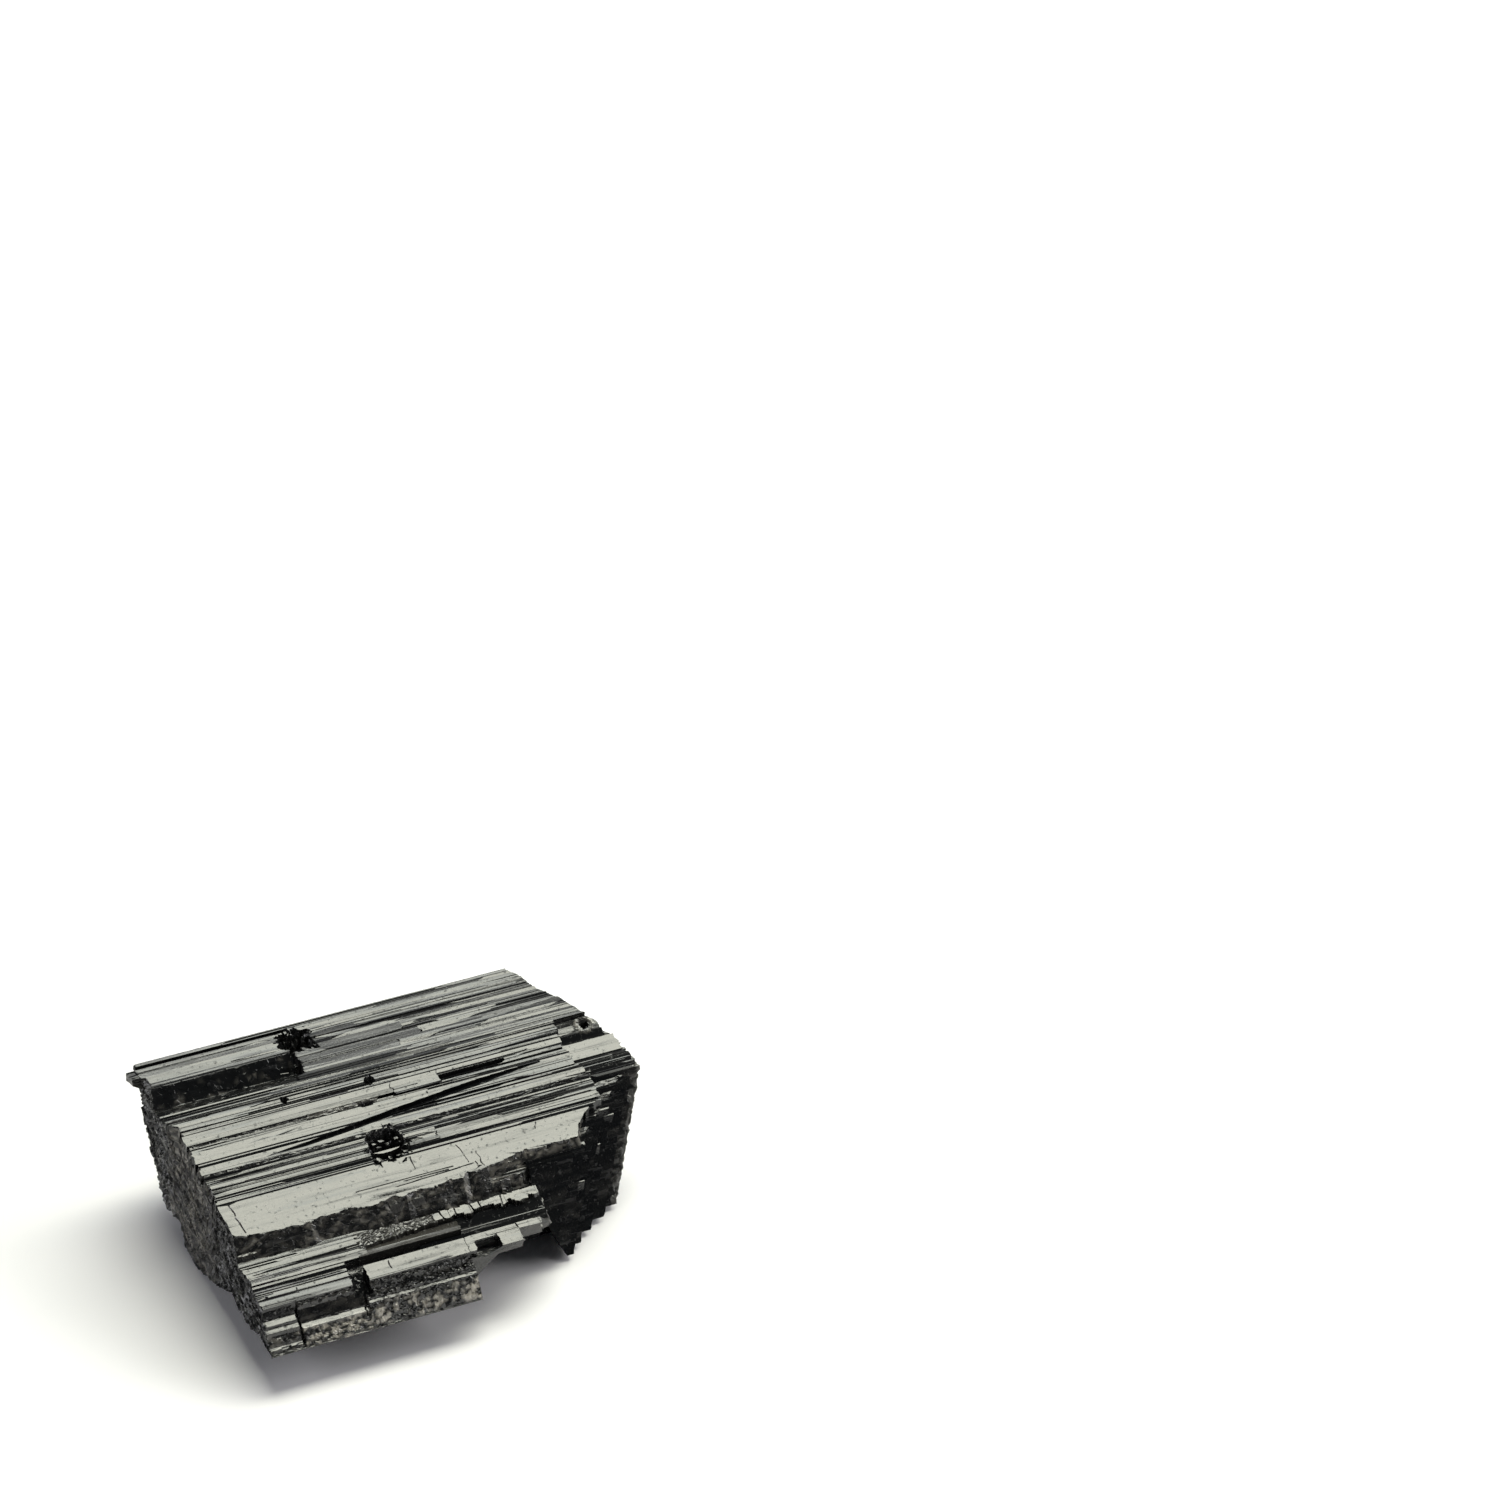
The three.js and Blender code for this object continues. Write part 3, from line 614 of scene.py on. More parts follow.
# The feathered part of the ledge: fine slanting ridges that catch the light
def add_feathers(top):
    rows, along, across = top.rows(24.0, 26.0)
    turn = along * 0.8 + across * 1.25 + 0.5 * noise(along / 1.4, across / 0.9, 55)
    ridge = np.abs((turn / 0.36) % 1 - 0.5) * 0.36
    low_edge = np.interp(along, [11, 14, 18], [25.8, 25.4, 25.2]) + 0.12 * blocks(along, (0.15, 0.6), 56)
    height = ledge_height(across) + 0.02 + 0.24 * ridge + 0.035 * chips(along / 0.45, across / 0.3, 57, 1.8)
    inside = (along > 11.2 + 0.4 * blocks(across, (0.1, 0.3), 58)) & (along < 18.8) & (across < low_edge)
    # the slight pale colour on the ridges paints part of the light they catch
    top.raise_to(rows, height, inside & (across > 24.2 + 0.1 * blocks(along, (0.2, 0.7), 54)), 0.05, 0.05)
    rows, along, across = top.rows(24.0, 25.45)
    piece = blocks(along, (0.5, 2.2), 59)
    height = ledge_height(across) + 0.10 + 0.06 * piece + ribs(along, ROWS[rows], "broad", 60)
    low_edge = 25.1 + 0.22 * blocks(along, (0.12, 0.7), 66) + 0.05 * blocks(along, (0.05, 0.15), 68)
    high_edge = 24.25 + 0.10 * piece + 0.06 * blocks(along, (0.1, 0.4), 69)
    inside = (along > 18.2 + 0.4 * piece) & (along < 28.8) & (across < low_edge) & (across > high_edge)
    # the same slight pale colour on these pieces is partly a painted highlight
    top.raise_to(rows, height, inside, 0.05, 0.05)
    for middle, lean in ((19.4, 0.3), (20.7, -0.1), (22.3, 0.2), (23.1, 0.1), (25.2, -0.2)):
        crack = np.abs(along - middle - lean * (across - 24.7)) < 0.07
        top.cut_to(rows, ledge_height(across) - 0.15, crack & inside, 0.1)


# Blocks of the steep front face: along from and to, their section as across and height, relief and pale
# crust; the parts of each section given last stay smooth
FRONT_BLOCKS = [
    (-0.9, 3.25, [
        (29.1, 6.5), (29.5, 5.80), (29.56, 5.72), (30.12, 5.58), (30.2, 5.26), (30.62, 5.15), (30.7, 4.8),
        (31.15, 4.35), (31.3, 4.02), (31.55, 3.96), (31.8, 3.4),
    ], 0.05, 0.12, [(29.56, 30.13), (30.2, 30.63), (31.3, 31.56)]),
    (3.5, 9.9, [
        (29.2, 6.55), (29.4, 6.35), (29.5, 6.05), (30.15, 5.05), (30.2, 4.95), (30.72, 4.82), (30.76, 4.6),
        (31.75, 3.75), (31.9, 3.4),
    ], 0.06, 0.50, [(29.5, 30.16), (30.2, 30.73)]),
    (9.9, 20.4, [
        (29.15, 6.6), (29.45, 6.2), (29.55, 5.95), (30.2, 5.72), (30.24, 5.5), (30.5, 5.42), (31.7, 3.85),
        (31.85, 3.4),
    ], 0.10, 0.55, [(30.22, 30.5)]),
]


def add_front_blocks(top):
    rows, along, across = top.rows(28.9, 40)
    for place, (along_from, along_to, section, relief, paleness, smooth) in enumerate(FRONT_BLOCKS):
        places, heights = np.array(section).T
        shift = 0.06 * blocks(along, (0.3, 1.6), 90 + place) * np.clip((across - 29.4) * 2, 0, 1)
        calm = np.ones(across.shape)
        for low, high in smooth:
            calm = np.where((across > low) & (across < high), 0.08, calm)
        height = np.interp(across + shift * calm, places, heights)
        rubble = chips(along / 0.42, across / 0.19, 95 + place, 2.4)
        small = chips(along / 0.2, across / 0.1, 92 + place, 2.0)
        height = height + calm * relief * (rubble + 0.5 * small)
        bite = 0.16 * np.maximum(0, chips(along / 0.9, across * 0, 97, 0.5)) * (across > 31.4)
        inside = (along > along_from + 0.03 * blocks(across, (0.05, 0.2), 94)) & (along < along_to)
        low_crust = paleness * np.clip((across - 30.5) * 4, 0.1, 1)
        speckle = chips(along / 0.45, across / 0.18, 98, 0.2) + 0.6 * noise(along / 1.6, across / 0.8, 93)
        amount = np.clip(speckle * 2.6 - 0.5, 0.0, 1.4)
        top.raise_to(rows, height - bite, inside, np.where(calm < 0.5, 0.05, 0.2), amount * low_crust)
    for middle, width, low, high in (
        (3.37, 0.13, 29.0, 32), (9.9, 0.05, 29.0, 30.8), (9.6, 0.05, 30.2, 30.9),
    ):
        crack = np.abs(along - middle - 0.07 * wobble(across / 0.25, 98)) < width
        crack = crack & (across > low) & (across < high)
        top.cut_to(rows, top.height[rows] - 0.5, crack, 0.3)


def add_recess(top):
    rows, along, across = top.rows(0.3, 9.1)
    line = ragged([(-2, 3.9), (6, 4.0), (13.4, 3.9)], 0.9, 0.16, 37)
    smooth_edge = np.interp(along, line[:, 0], line[:, 1])
    edge = smooth_edge + 0.08 * blocks(along, (0.15, 0.6), 38) + 0.04 * blocks(along, (0.05, 0.15), 39)
    rubble = 0.03 * chips(along / 0.6, across / 0.25, 41, 1.4) + 0.06 * noise(along / 0.8, across / 0.5, 42)
    riser = TOP - (across - smooth_edge) * 1.25 + rubble
    floor = np.interp(
        across,
        [3.9, 5.0, 6.8, 7.0, 7.16, 7.26, 8.8],
        [11.8, 11.85, 12.25, 12.36, 12.32, 12.16, 12.85],
    )
    hollow = 0.02 * chips(along / 0.8, across / 0.3, 45, 1.2) - 0.16 * (6.85 - across)
    floor = floor + np.where(across < 6.85, hollow, 0)
    floor = floor + np.where(across > 7.3, 0.5 * ribs(along, ROWS[rows], "dark", 43), 0)
    both = np.maximum(riser, floor)
    end = 13.4 + np.clip(across - 6.9, 0, 2) * -2.6 + 0.4 * blocks(across, (0.08, 0.3), 44)
    inside = (across > edge) & (across < 8.8) & (along < end)
    # painted highlights: pale specks on the hollow of the recess floor stand in for its glints of light
    painted_glints = np.clip(chips(along / 0.3, across / 0.16, 46, 0.2) * 4 - 3.4, 0, 1)
    top.set_to(rows, both, inside, 0.05, 0.25 * painted_glints * (across < 6.8))
    # a shallow slope that faces away makes the dark line behind the back rim
    slope = TOP - 0.28 + (across - 0.35) * 0.5
    top.cut_to(rows, slope, (across > 0.35) & (across < 1.0) & (along < 13.5 + across), 0.0)


def add_grooves(top):
    rows, along, across = top.rows(11.2, 15.6)
    start = np.interp(along, [6.2, 12, 20, 28, 34.2], [15.02, 14.50, 13.56, 12.88, 12.68])
    width = np.interp(along, [6.2, 10, 20, 28, 34.2], [0.02, 0.40, 0.68, 0.58, 0.15])
    start = start + 0.02 * wobble(along / 1.2, 54)
    share = (across - start) / width
    floor = top_height(across) - 0.03 - np.clip(1 - share, 0, 1) * width * 0.6
    top.cut_to(rows, floor, (share > 0) & (share < 1) & (along > 6.2) & (along < 34.2), 0.0)
    slot_end = 30.6 + 0.6 * blocks(across, (0.08, 0.2), 50)
    slot = (along > 24.6) & (along < slot_end) & (across > 11.42) & (across < 12.02)
    top.cut_to(rows, top_height(across) - 0.40 + (across - 11.42) * 0.62, slot, 0.05)
    rows, along, across = top.rows(26.4, 29.7)
    start = 9.25 - (across - 26.5) * 0.1 + 0.12 * blocks(across, (0.1, 0.4), 51)
    end = 10.65 - (across - 26.5) * 0.03 + 0.12 * blocks(across, (0.1, 0.4), 52)
    floor = ledge_height(across) - 0.6 - (across - 26.5) * 0.35
    floor = floor + 0.05 * chips(along / 0.3, across / 0.3, 53, 1.2)
    top.cut_to(rows, floor, (along > start) & (along < end) & (across > 26.5), 0.1)
    for middle, across_from, across_to in ((20.3, 27.4, 29.3), (12.9, 27.6, 28.6), (4.1, 27.6, 28.4)):
        crack = np.abs(along - middle - 0.06 * wobble(across / 0.3, 67)) < 0.045
        top.cut_to(rows, top.height[rows] - 0.06, crack & (across > across_from) & (across < across_to), 0.2)


# Corners of an angular pit, the same as the plain solid's
def pit_corners(center_along, center_across, half_along, half_across, sides, seed):
    draw = random_from(seed)
    corners = []
    pulls = []
    for side in range(sides):
        turn = side / sides * math.pi * 2 + draw() * 0.5
        reach = 0.8 + draw() * 0.35
        out_along = math.cos(turn) * half_along * reach
        out_across = math.sin(turn) * half_across * reach
        corners.append((center_along + out_along, center_across + out_across))
        pulls.append(0.35 + draw() * 0.3)
    return np.array(corners), np.array(pulls)


def add_pit(top, center_along, center_across, half_along, half_across, depth, sides, seed):
    corners, pulls = pit_corners(center_along, center_across, half_along, half_across, sides, seed)
    rows, along, across = top.rows(center_across - half_across * 1.3, center_across + half_across * 1.3)
    inward = np.full(across.shape, 9.0)
    for index in range(sides):
        first = corners[index]
        last = corners[(index + 1) % sides]
        edge = last - first
        length = math.hypot(edge[0], edge[1])
        away = (edge[0] * (across - first[1]) - edge[1] * (along - first[0])) / length
        pull = (pulls[index] + pulls[(index + 1) % sides]) / 2
        reach = np.hypot(first[0] - center_along, first[1] - center_across) * pull
        inward = np.minimum(inward, away * (depth + 0.4) / max(reach, 0.05))
    size = min(0.55, half_across * 0.5)
    rubble = chips(along / size, across / (size * 0.75), seed + 61, 2.2)
    small = chips(along / (size * 0.4), across / (size * 0.3), seed + 62, 1.8)
    inside = inward + 0.22 * half_across * (rubble + 0.5 * small) > 0.04
    deep = np.clip(inward, 0.1, depth) * (0.8 + 0.28 * rubble) + 0.06 * depth * small
    top.cut_to(rows, top_height(across) - np.maximum(deep, 0.02), inside, 0.1)


# Bright chips that stand in the middle pit: along and across of the middle, half sizes, depth under the top
PIT_CHIPS = [
    (16.0, 18.38, 0.26, 0.30, 0.22), (16.5, 18.75, 0.2, 0.12, 0.12), (16.2, 16.5, 0.2, 0.12, 0.3),
    (16.9, 16.4, 0.22, 0.14, 0.2), (17.4, 16.75, 0.2, 0.12, 0.35), (16.6, 16.85, 0.24, 0.1, 0.4),
    (18.3, 16.5, 0.22, 0.16, 0.25), (18.5, 16.9, 0.14, 0.1, 0.3), (17.9, 18.3, 0.16, 0.12, 0.3),
    (18.6, 18.1, 0.2, 0.1, 0.2), (17.1, 18.2, 0.14, 0.16, 0.4), (18.9, 17.5, 0.2, 0.1, 0.12),
]


def add_pit_chips(top):
    rows, along, across = top.rows(15.8, 19.0)
    for place, (middle_along, middle_across, half_along, half_across, depth) in enumerate(PIT_CHIPS):
        skew = 0.35 * (across - middle_across)
        away_along = np.abs(along - middle_along - skew) / half_along
        away = np.maximum(away_along, np.abs(across - middle_across) / half_across)
        away = away + 0.25 * chips(along / 0.15, across / 0.12, 140 + place, 0.8)
        height = top_height(across) - depth + 0.03 * noise(along / 0.2, across / 0.1, 150)
        # the slight pale colour on the chips and on the lens paints part of their brightness, a painted
        # highlight
        top.raise_to(rows, height, away < 1, 0.1, 0.02)
    share = np.clip((along - 15.7) / 2.7, 0, 1)
    lens = 17.44 + 0.5 * share * (1 - share)
    half = 0.62 * share * (1 - share)
    top.raise_to(rows, top_height(across) - 0.28, np.abs(across - lens) < half, 0.0, 0.03)


# The raised, pale rim round a small pit
def add_vug_ring(top, center_along, center_across, radius, swell):
    rows, along, across = top.rows(center_across - 2 * radius, center_across + 2 * radius)
    away = np.hypot(along - center_along, (across - center_across) * 1.1)
    ring = swell * np.clip(1 - np.abs(away - radius) / (0.35 * radius), 0, 1)
    ring = ring * (0.6 + 0.4 * chips(along / 0.3, across / 0.2, 63, 0.6))
    top.height[rows] = top.height[rows] + ring
    top.paleness[rows] = np.maximum(top.paleness[rows], np.clip(ring / swell - 0.3, 0, 1) * 0.7)


def top_surface():
    base = np.interp(
        ACROSS,
        [BACK_REACH, 0.0, 0.15, FLAT, 22.4, 23.5, 29.4, 31.4, FRONT_REACH],
        [12.6, 12.75, 12.35, TOP - 0.9, 8.93, 7.25, 5.78, 3.7, 3.5],
    )
    base = base + 0.06 * chips(ALONG / 1.2, ACROSS / 0.3, 61) + 0.03 * noise(ALONG / 0.4, ACROSS / 0.12, 62)
    core_reach = np.interp(
        ACROSS,
        [14.4, 15.9, 18.9, 21.2, 22.4, 27.2, 28.7, 29.5],
        [43.2, 41.0, 37.4, 34.6, 29.6, 28.9, 25.4, 20.6],
    )
    base = np.where(ALONG < core_reach, base, np.minimum(base, 9.0))
    top = Top(base, np.full(base.shape, 0.4), np.zeros(base.shape))
    for place, strip in enumerate(STRIPS):
        lay_strip(top, strip, top_height, 100 + place * 7)
    for place, strip in enumerate(SHELVES):
        lay_strip(top, strip, top_height, 400 + place * 7)
    add_broad_strip(top)
    for place, strip in enumerate(LEDGES):
        lay_strip(top, strip, ledge_height, 600 + place * 7)
    add_feathers(top)
    add_front_blocks(top)
    add_recess(top)
    add_grooves(top)
    for pit in (
        (14.2, 2.5, 2.3, 2.0, 1.5, 7, 3),
        (17.1, 17.3, 2.2, 2.1, 1.4, 8, 5),
        (10.2, 9.8, 0.5, 0.45, 0.5, 5, 7),
        (18.4, 10.1, 0.6, 0.5, 0.5, 5, 9),
        (40.0, 9.8, 0.7, 0.6, 1.2, 6, 13),
        (17.2, 12.4, 0.9, 0.35, 0.4, 6, 17),
    ):
        add_pit(top, *pit)
    add_pit_chips(top)
    add_vug_ring(top, 40.0, 9.8, 0.82, 0.16)
    return top


# Path round the back and the underside, from the back edge to the front edge, as across and height
UNDER_PATH = np.array([
    (BACK_REACH, 12.45), (0.0, 11.2), (0.3, 9.6), (1.1, 8.9), (1.3, 7.4), (3.4, 4.3), (4.6, 3.9), (6.9, 1.3),
    (8.2, 1.1), (9.4, 0.3), (10.3, 0.35), (10.6, 0.0), (18.9, 0.0), (19.2, 0.4), (21.5, 0.5), (22.8, 1.4),
    (25.2, 2.1), (26.4, 3.1), (29.2, 3.7), (30.4, 3.6), (31.5, 3.4), (FRONT_REACH, 3.45),
])

# Ridges along the back and the underside: place on the path, half width, height, along from and to
RIDGES = [
    (1.6, 0.9, 0.35, 6, 37), (5.1, 1.0, 0.5, -0.9, 33), (8.4, 1.0, 0.5, 4, 38), (11.4, 0.9, 0.5, -0.9, 24),
    (14.4, 1.0, 0.45, 10, 38.5), (33.2, 0.9, 0.35, 7, 20.2), (36.2, 0.8, 0.3, -0.9, 17),
]


# The underside climbs towards the left end, hollows out under the right part of the ledge and comes down to
# the foot of the right flank
def under_level(along, across, level):
    near = np.interp(across, [12, 15, 18.8, 22, 24.4, 29], [0, 0.1, 1.9, 4.0, 3.8, 3.6])
    far = np.interp(across, [12, 20, 25, 29], [-0.6, -0.5, -0.3, -0.2])
    climb = near + (far - near) * (along + 2) / 12
    notch = np.interp(across, [6.5, 7.4, 8.2, 10, 10.8, 11.3], [0, 1.9, 2.3, 2.0, 1.5, 0])
    notch = notch - 0.35 * (along + 1)
    left = np.maximum(level, np.where(across > 12, climb, notch))
    hollow = np.maximum(level, np.interp(across, [22.6, 23.4, 27.0, 28.4], [0, 0.7, 5.6, UNDERCUT_TOP]))
    foot = np.where(across > 19, np.minimum(level, 0.35 + 0.1 * noise(along / 0.8, across / 0.5, 76)), level)
    start = 20.5 + 0.1 * (across - 26) + 0.1 * wobble(across / 0.4, 77)
    end = np.where(across < 22.6, UNDERCUT_END, 99)
    return np.where(along < start, left, np.where(along < end, hollow, foot))


def under_surface():
    lengths = np.hypot(*np.diff(UNDER_PATH, axis=0).T)
    marks = np.concatenate([[0], np.cumsum(lengths)])
    place = np.interp(
        ROWS,
        [BACK_REACH, 9.4, 10.6, 18.9, 21.5, 26.4, 29.2, FRONT_REACH],
        [0, marks[9], marks[11], marks[12], marks[14], marks[17], marks[18], marks[-1]],
    )
    across = np.interp(place, marks, UNDER_PATH[:, 0])
    height = np.interp(place, marks, UNDER_PATH[:, 1])
    slope_across = np.gradient(across, place)
    slope_height = np.gradient(height, place)
    size = np.hypot(slope_across, slope_height)
    out_across = slope_height / size
    out_height = -slope_across / size
    left = left_end(across, height)
    right = np.where(across > 19, row_end(across), right_end(across, height))
    station = UNDER_STATION
    along = spread(left, right, station)
    where = np.repeat(place[:, None], len(station), axis=1)
    bulge = 1.6 * ribs(along, place, "rough", 71) + 1.2 * ribs(along, place, "dark", 72)
    bulge = bulge + 0.05 * chips(along / 2.2, where / 0.5, 74) + 0.02 * noise(along / 0.5, where / 0.2, 75)
    for middle, half, tall, along_from, along_to in RIDGES:
        lift = np.clip((half - np.abs(where - middle)) * 1.2, 0, tall)
        bulge = bulge + np.where((along > along_from) & (along < along_to), lift, 0)
    edge_share = np.clip(np.minimum(where, marks[-1] - where) / 0.4, 0, 1)
    patch = smooth_step(where, marks[10], marks[11]) * (1 - smooth_step(where, marks[12], marks[13]))
    bulge = bulge * edge_share * (1 - patch)
    level = under_level(along, across[:, None] + 0 * along, height[:, None] + 0 * along)
    moved_across = across[:, None] + out_across[:, None] * bulge * (across[:, None] < 19)
    moved_height = level + np.where(across[:, None] < 19, out_height[:, None] * bulge, -0.6 * bulge)
    moved_height = np.maximum(moved_height, 0.0)
    # the right half of the underside gets a low grain, glossier and also blacker; the blacker colour is
    # painted shade for the dark under the ledge
    grain = np.where(along > 20, 0.1, 0.4) * np.ones(moved_height.shape)
    return along, moved_across, moved_height, grain


# A cap between the ends of the top rows and the ends of the under rows
def cap_points(top_end, under_end, cut_at, side):
    shares = np.linspace(0, 1, CAP_LEVELS + 2)[1:-1]
    levels = top_end[:, None, :] * (1 - shares[None, :, None]) + under_end[:, None, :] * shares[None, :, None]
    across = levels[..., 1]
    height = levels[..., 2]
    along = cut_at(across, height)
    if side > 0:
        along = roughen_right(along, across, height, shares)
        points = np.stack([along, across, height], axis=-1)
        return points, np.full(along.shape, BREAK_GRAIN), np.full(along.shape, BREAK_CRUST)
    level = fibre_level(across, height)
    strands = 0.7 * chips(across / 1.1, level / 0.13, 306, 0.3)
    strands = strands + 0.5 * noise(across / 0.5, level / 0.07, 307)
    # The pale streaks are partly the fibres' own colour and partly painted light: the ramp makes them
    # strongest across the middle of the broken end, standing in for the light it catches from the floor, and
    # fades them out towards its top and its foot.
    pale = np.interp(across, [7, 9.5, 15, 19, 28], [0.15, 1.2, 1.0, 0.1, 0.0])
    paleness = 0.75 * np.clip(strands - 0.05, 0, 1) * pale
    grain = np.interp(across, [7, 11, 16, 20], [0.35, 0.8, 0.8, 0.3])
    return np.stack([along, across, height], axis=-1), grain, paleness


# Crystals whose ends stand out of the right end, as across, height, radius and reach
RIGHT_CRYSTALS = [
    (4.0, 7.6, 1.0, 36.9), (7.1, 9.6, 1.1, 39.4), (8.3, 5.2, 1.3, 38.3), (11.4, 9.2, 1.2, 41.0),
    (11.8, 3.4, 1.4, 38.6), (14.6, 6.6, 1.5, 40.3),
]


# Relief of a break across the ridges
def broken_relief(across, height):
    relief = 0.16 * chips(height / 0.5, across / 1.1, 502, 1.4)
    relief = relief + 0.08 * chips(height / 0.16, across / 0.35, 503, 1.4)
    return relief + 0.03 * noise(height / 0.07, across / 0.2, 504) + 0.1 * blocks(height, (0.3, 1.2), 505)


def roughen_right(along, across, height, shares):
    calm = np.clip(np.minimum(shares, 1 - shares) * 14, 0, 1)[None, :]
    relief = broken_relief(across, height)
    for center, middle, radius, reach in RIGHT_CRYSTALS:
        aside = np.abs(across - center)
        above = np.abs(height - middle)
        inside = np.maximum(aside * 0.87 + above * 0.5, above) < radius * 0.87
        along = np.where(inside, np.maximum(along, reach * calm + along * (1 - calm)), along)
    return along + relief * calm * np.clip((row_end(across) - 20.3) * 2, 0, 1)


# Rings from the rim of a broken end to its middle, with the relief of the break
def broken_end(rim, side):
    middle = rim.mean(axis=0)
    reach = np.hypot(rim[:, 1] - middle[1], rim[:, 2] - middle[2]).max()
    shares = np.linspace(0, 1, max(4, int(reach / SHELL_STEP)))[1:-1]
    rings = rim[:, None, :] + (middle - rim)[:, None, :] * shares[None, :, None]
    calm = np.clip(shares * reach / 0.3, 0, 1)[None, :]
    rings[..., 0] += side * calm * (broken_relief(rings[..., 1], rings[..., 2]) - 0.2)
    return rings, rings[:, -1].mean(axis=0)


# A closed body with a convex section that runs along the ridges. Its near end leans with the hollow under the
# ledge, its far end leans back towards the foot, and the last stretch before that end may be worn and pale.
def shell(section, start, end, lean, worn_length, seed):
    section = np.array(section)
    closed = np.vstack([section, section[:1]])
    step = np.diff(closed, axis=0)
    lengths = np.hypot(*step.T)
    marks = np.concatenate([[0], np.cumsum(lengths)])
    even = np.linspace(0, marks[-1], max(24, int(marks[-1] / SHELL_STEP)), endpoint=False)
    place = np.unique(np.round(np.concatenate([even, marks[:-1]]), 4))
    across = np.interp(place, marks, closed[:, 0])
    height = np.interp(place, marks, closed[:, 1])
    side = np.clip(np.searchsorted(marks, place, side="right") - 1, 0, len(section) - 1)
    outward = np.stack([-step[:, 1], step[:, 0]], axis=1) / lengths[:, None]
    faces_out = ((section - section.mean(axis=0)) * outward).sum(axis=1)[:, None] > 0
    outward = np.where(faces_out, outward, -outward)[side]
    near = np.maximum(start, UNDERCUT_END + END_LEAN * (UNDERCUT_TOP - height))
    far = end - lean * (section[:, 1].max() - height) + 0.08 * wobble(place / 0.3, seed)
    far = np.maximum(far, near + 0.02)
    station = np.linspace(0, 1, max(12, int((end - start) / SHELL_STEP_ALONG)))
    along = near[:, None] + (far - near)[:, None] * station[None, :]
    where = np.repeat(place[:, None], len(station), axis=1)
    ragged_start = 0.5 * chips(along / 0.6, where / 0.5, seed + 2)
    ragged_start = ragged_start + 0.4 * noise(along / 1.5, where / 2, seed + 3)
    past_start = (along - far[:, None]) / max(worn_length, 0.01) + 1 + ragged_start
    worn = smooth_step(past_start, 0, 0.4) * (worn_length > 0)
    bulge = ribs(along, place, "flank", seed) + 0.05 * worn * chips(along / 0.35, where / 0.25, seed + 1, 1.8)
    corner = np.min(np.abs(place[:, None] - marks[None, :]), axis=1)
    bulge = bulge * np.clip(corner / 0.12, 0, 1)[:, None]
    across = across[:, None] + outward[:, :1] * bulge
    height = np.maximum(height[:, None] + outward[:, 1:] * bulge, 0.05)
    points = np.stack([along, across, height], axis=-1)
    near_end, near_middle = broken_end(points[:, 0], -1)
    far_end, far_middle = broken_end(points[:, -1], 1)
    points = np.concatenate([near_end[:, ::-1], points, far_end], axis=1)
    near_worn = np.full(near_end.shape[:2], BLADE_END_WORN)
    far_worn = np.full(far_end.shape[:2], BLADE_END_WORN)
    worn = np.concatenate([near_worn, worn, far_worn], axis=1)
    count, stations = worn.shape
    grid = np.arange(count * stations).reshape(count, stations)
    around = np.concatenate([grid, grid[:1]])
    faces = [grid_faces(around, False)]
    near_tip = count * stations
    for line, tip, flip in ((around[:, 0], near_tip, False), (around[:, -1], near_tip + 1, True)):
        fan = np.stack([line[:-1], line[1:], np.full(count, tip)], axis=1)
        faces.append(fan[:, ::-1] if flip else fan)
    faces = np.concatenate(faces)
    points = np.concatenate([points.reshape(-1, 3), [near_middle, far_middle]])
    worn = np.concatenate([worn.ravel(), [BLADE_END_WORN, BLADE_END_WORN]])
    corners = points[faces] * np.array([1, -1, 1])
    volume = np.einsum("ij,ij->i", corners[:, 0], np.cross(corners[:, 1], corners[:, 2])).sum()
    return points, faces if volume > 0 else faces[:, ::-1], worn


# Small lit edges on the flank, as across, height, half width, along from and to
FLANK_MARKS = [
    (18.62, 9.8, 0.10, 37.0, 38.6), (18.95, 9.2, 0.05, 37.9, 38.9), (20.6, 7.55, 0.05, 33.6, 36.9),
    (23.45, 6.3, 0.04, 31.2, 34.1),
]


# Blades of the steep right flank, and the lit edges on them
def flank_shells():
    shells = []
    for place, (shoulder, reach) in enumerate(BLADES):
        crest = blade_crest(shoulder)
        meeting = (UNDERCUT_END + END_LEAN * (UNDERCUT_TOP + crest) - reach) / (2 * END_LEAN)
        low = max(0.5, meeting + 0.4)
        foot = shoulder + (crest - low) / FLANK_SLOPE
        section = [
            (shoulder - 2.6, crest - 1.5), (shoulder - 1.3, crest - 0.4), (shoulder, crest), (foot, low),
            (foot - 0.9, low - 0.35), (shoulder - 2.6, low - 0.3),
        ]
        worn_length = 0.7 if reach == RIGHT else 0.0
        shells.append(shell(section, UNDERCUT_END, reach, END_LEAN, worn_length, 700 + place * 3))
    for place, (across, height, half, start, end) in enumerate(FLANK_MARKS):
        fall = half * SLOPE
        section = [
            (across - half, height + fall), (across + half, height - fall),
            (across + half + 0.3, height - 0.75), (across - half, height - 0.6),
        ]
        shells.append(shell(section, start, end, 0.3, 0.0, 790 + place * 3))
    return shells


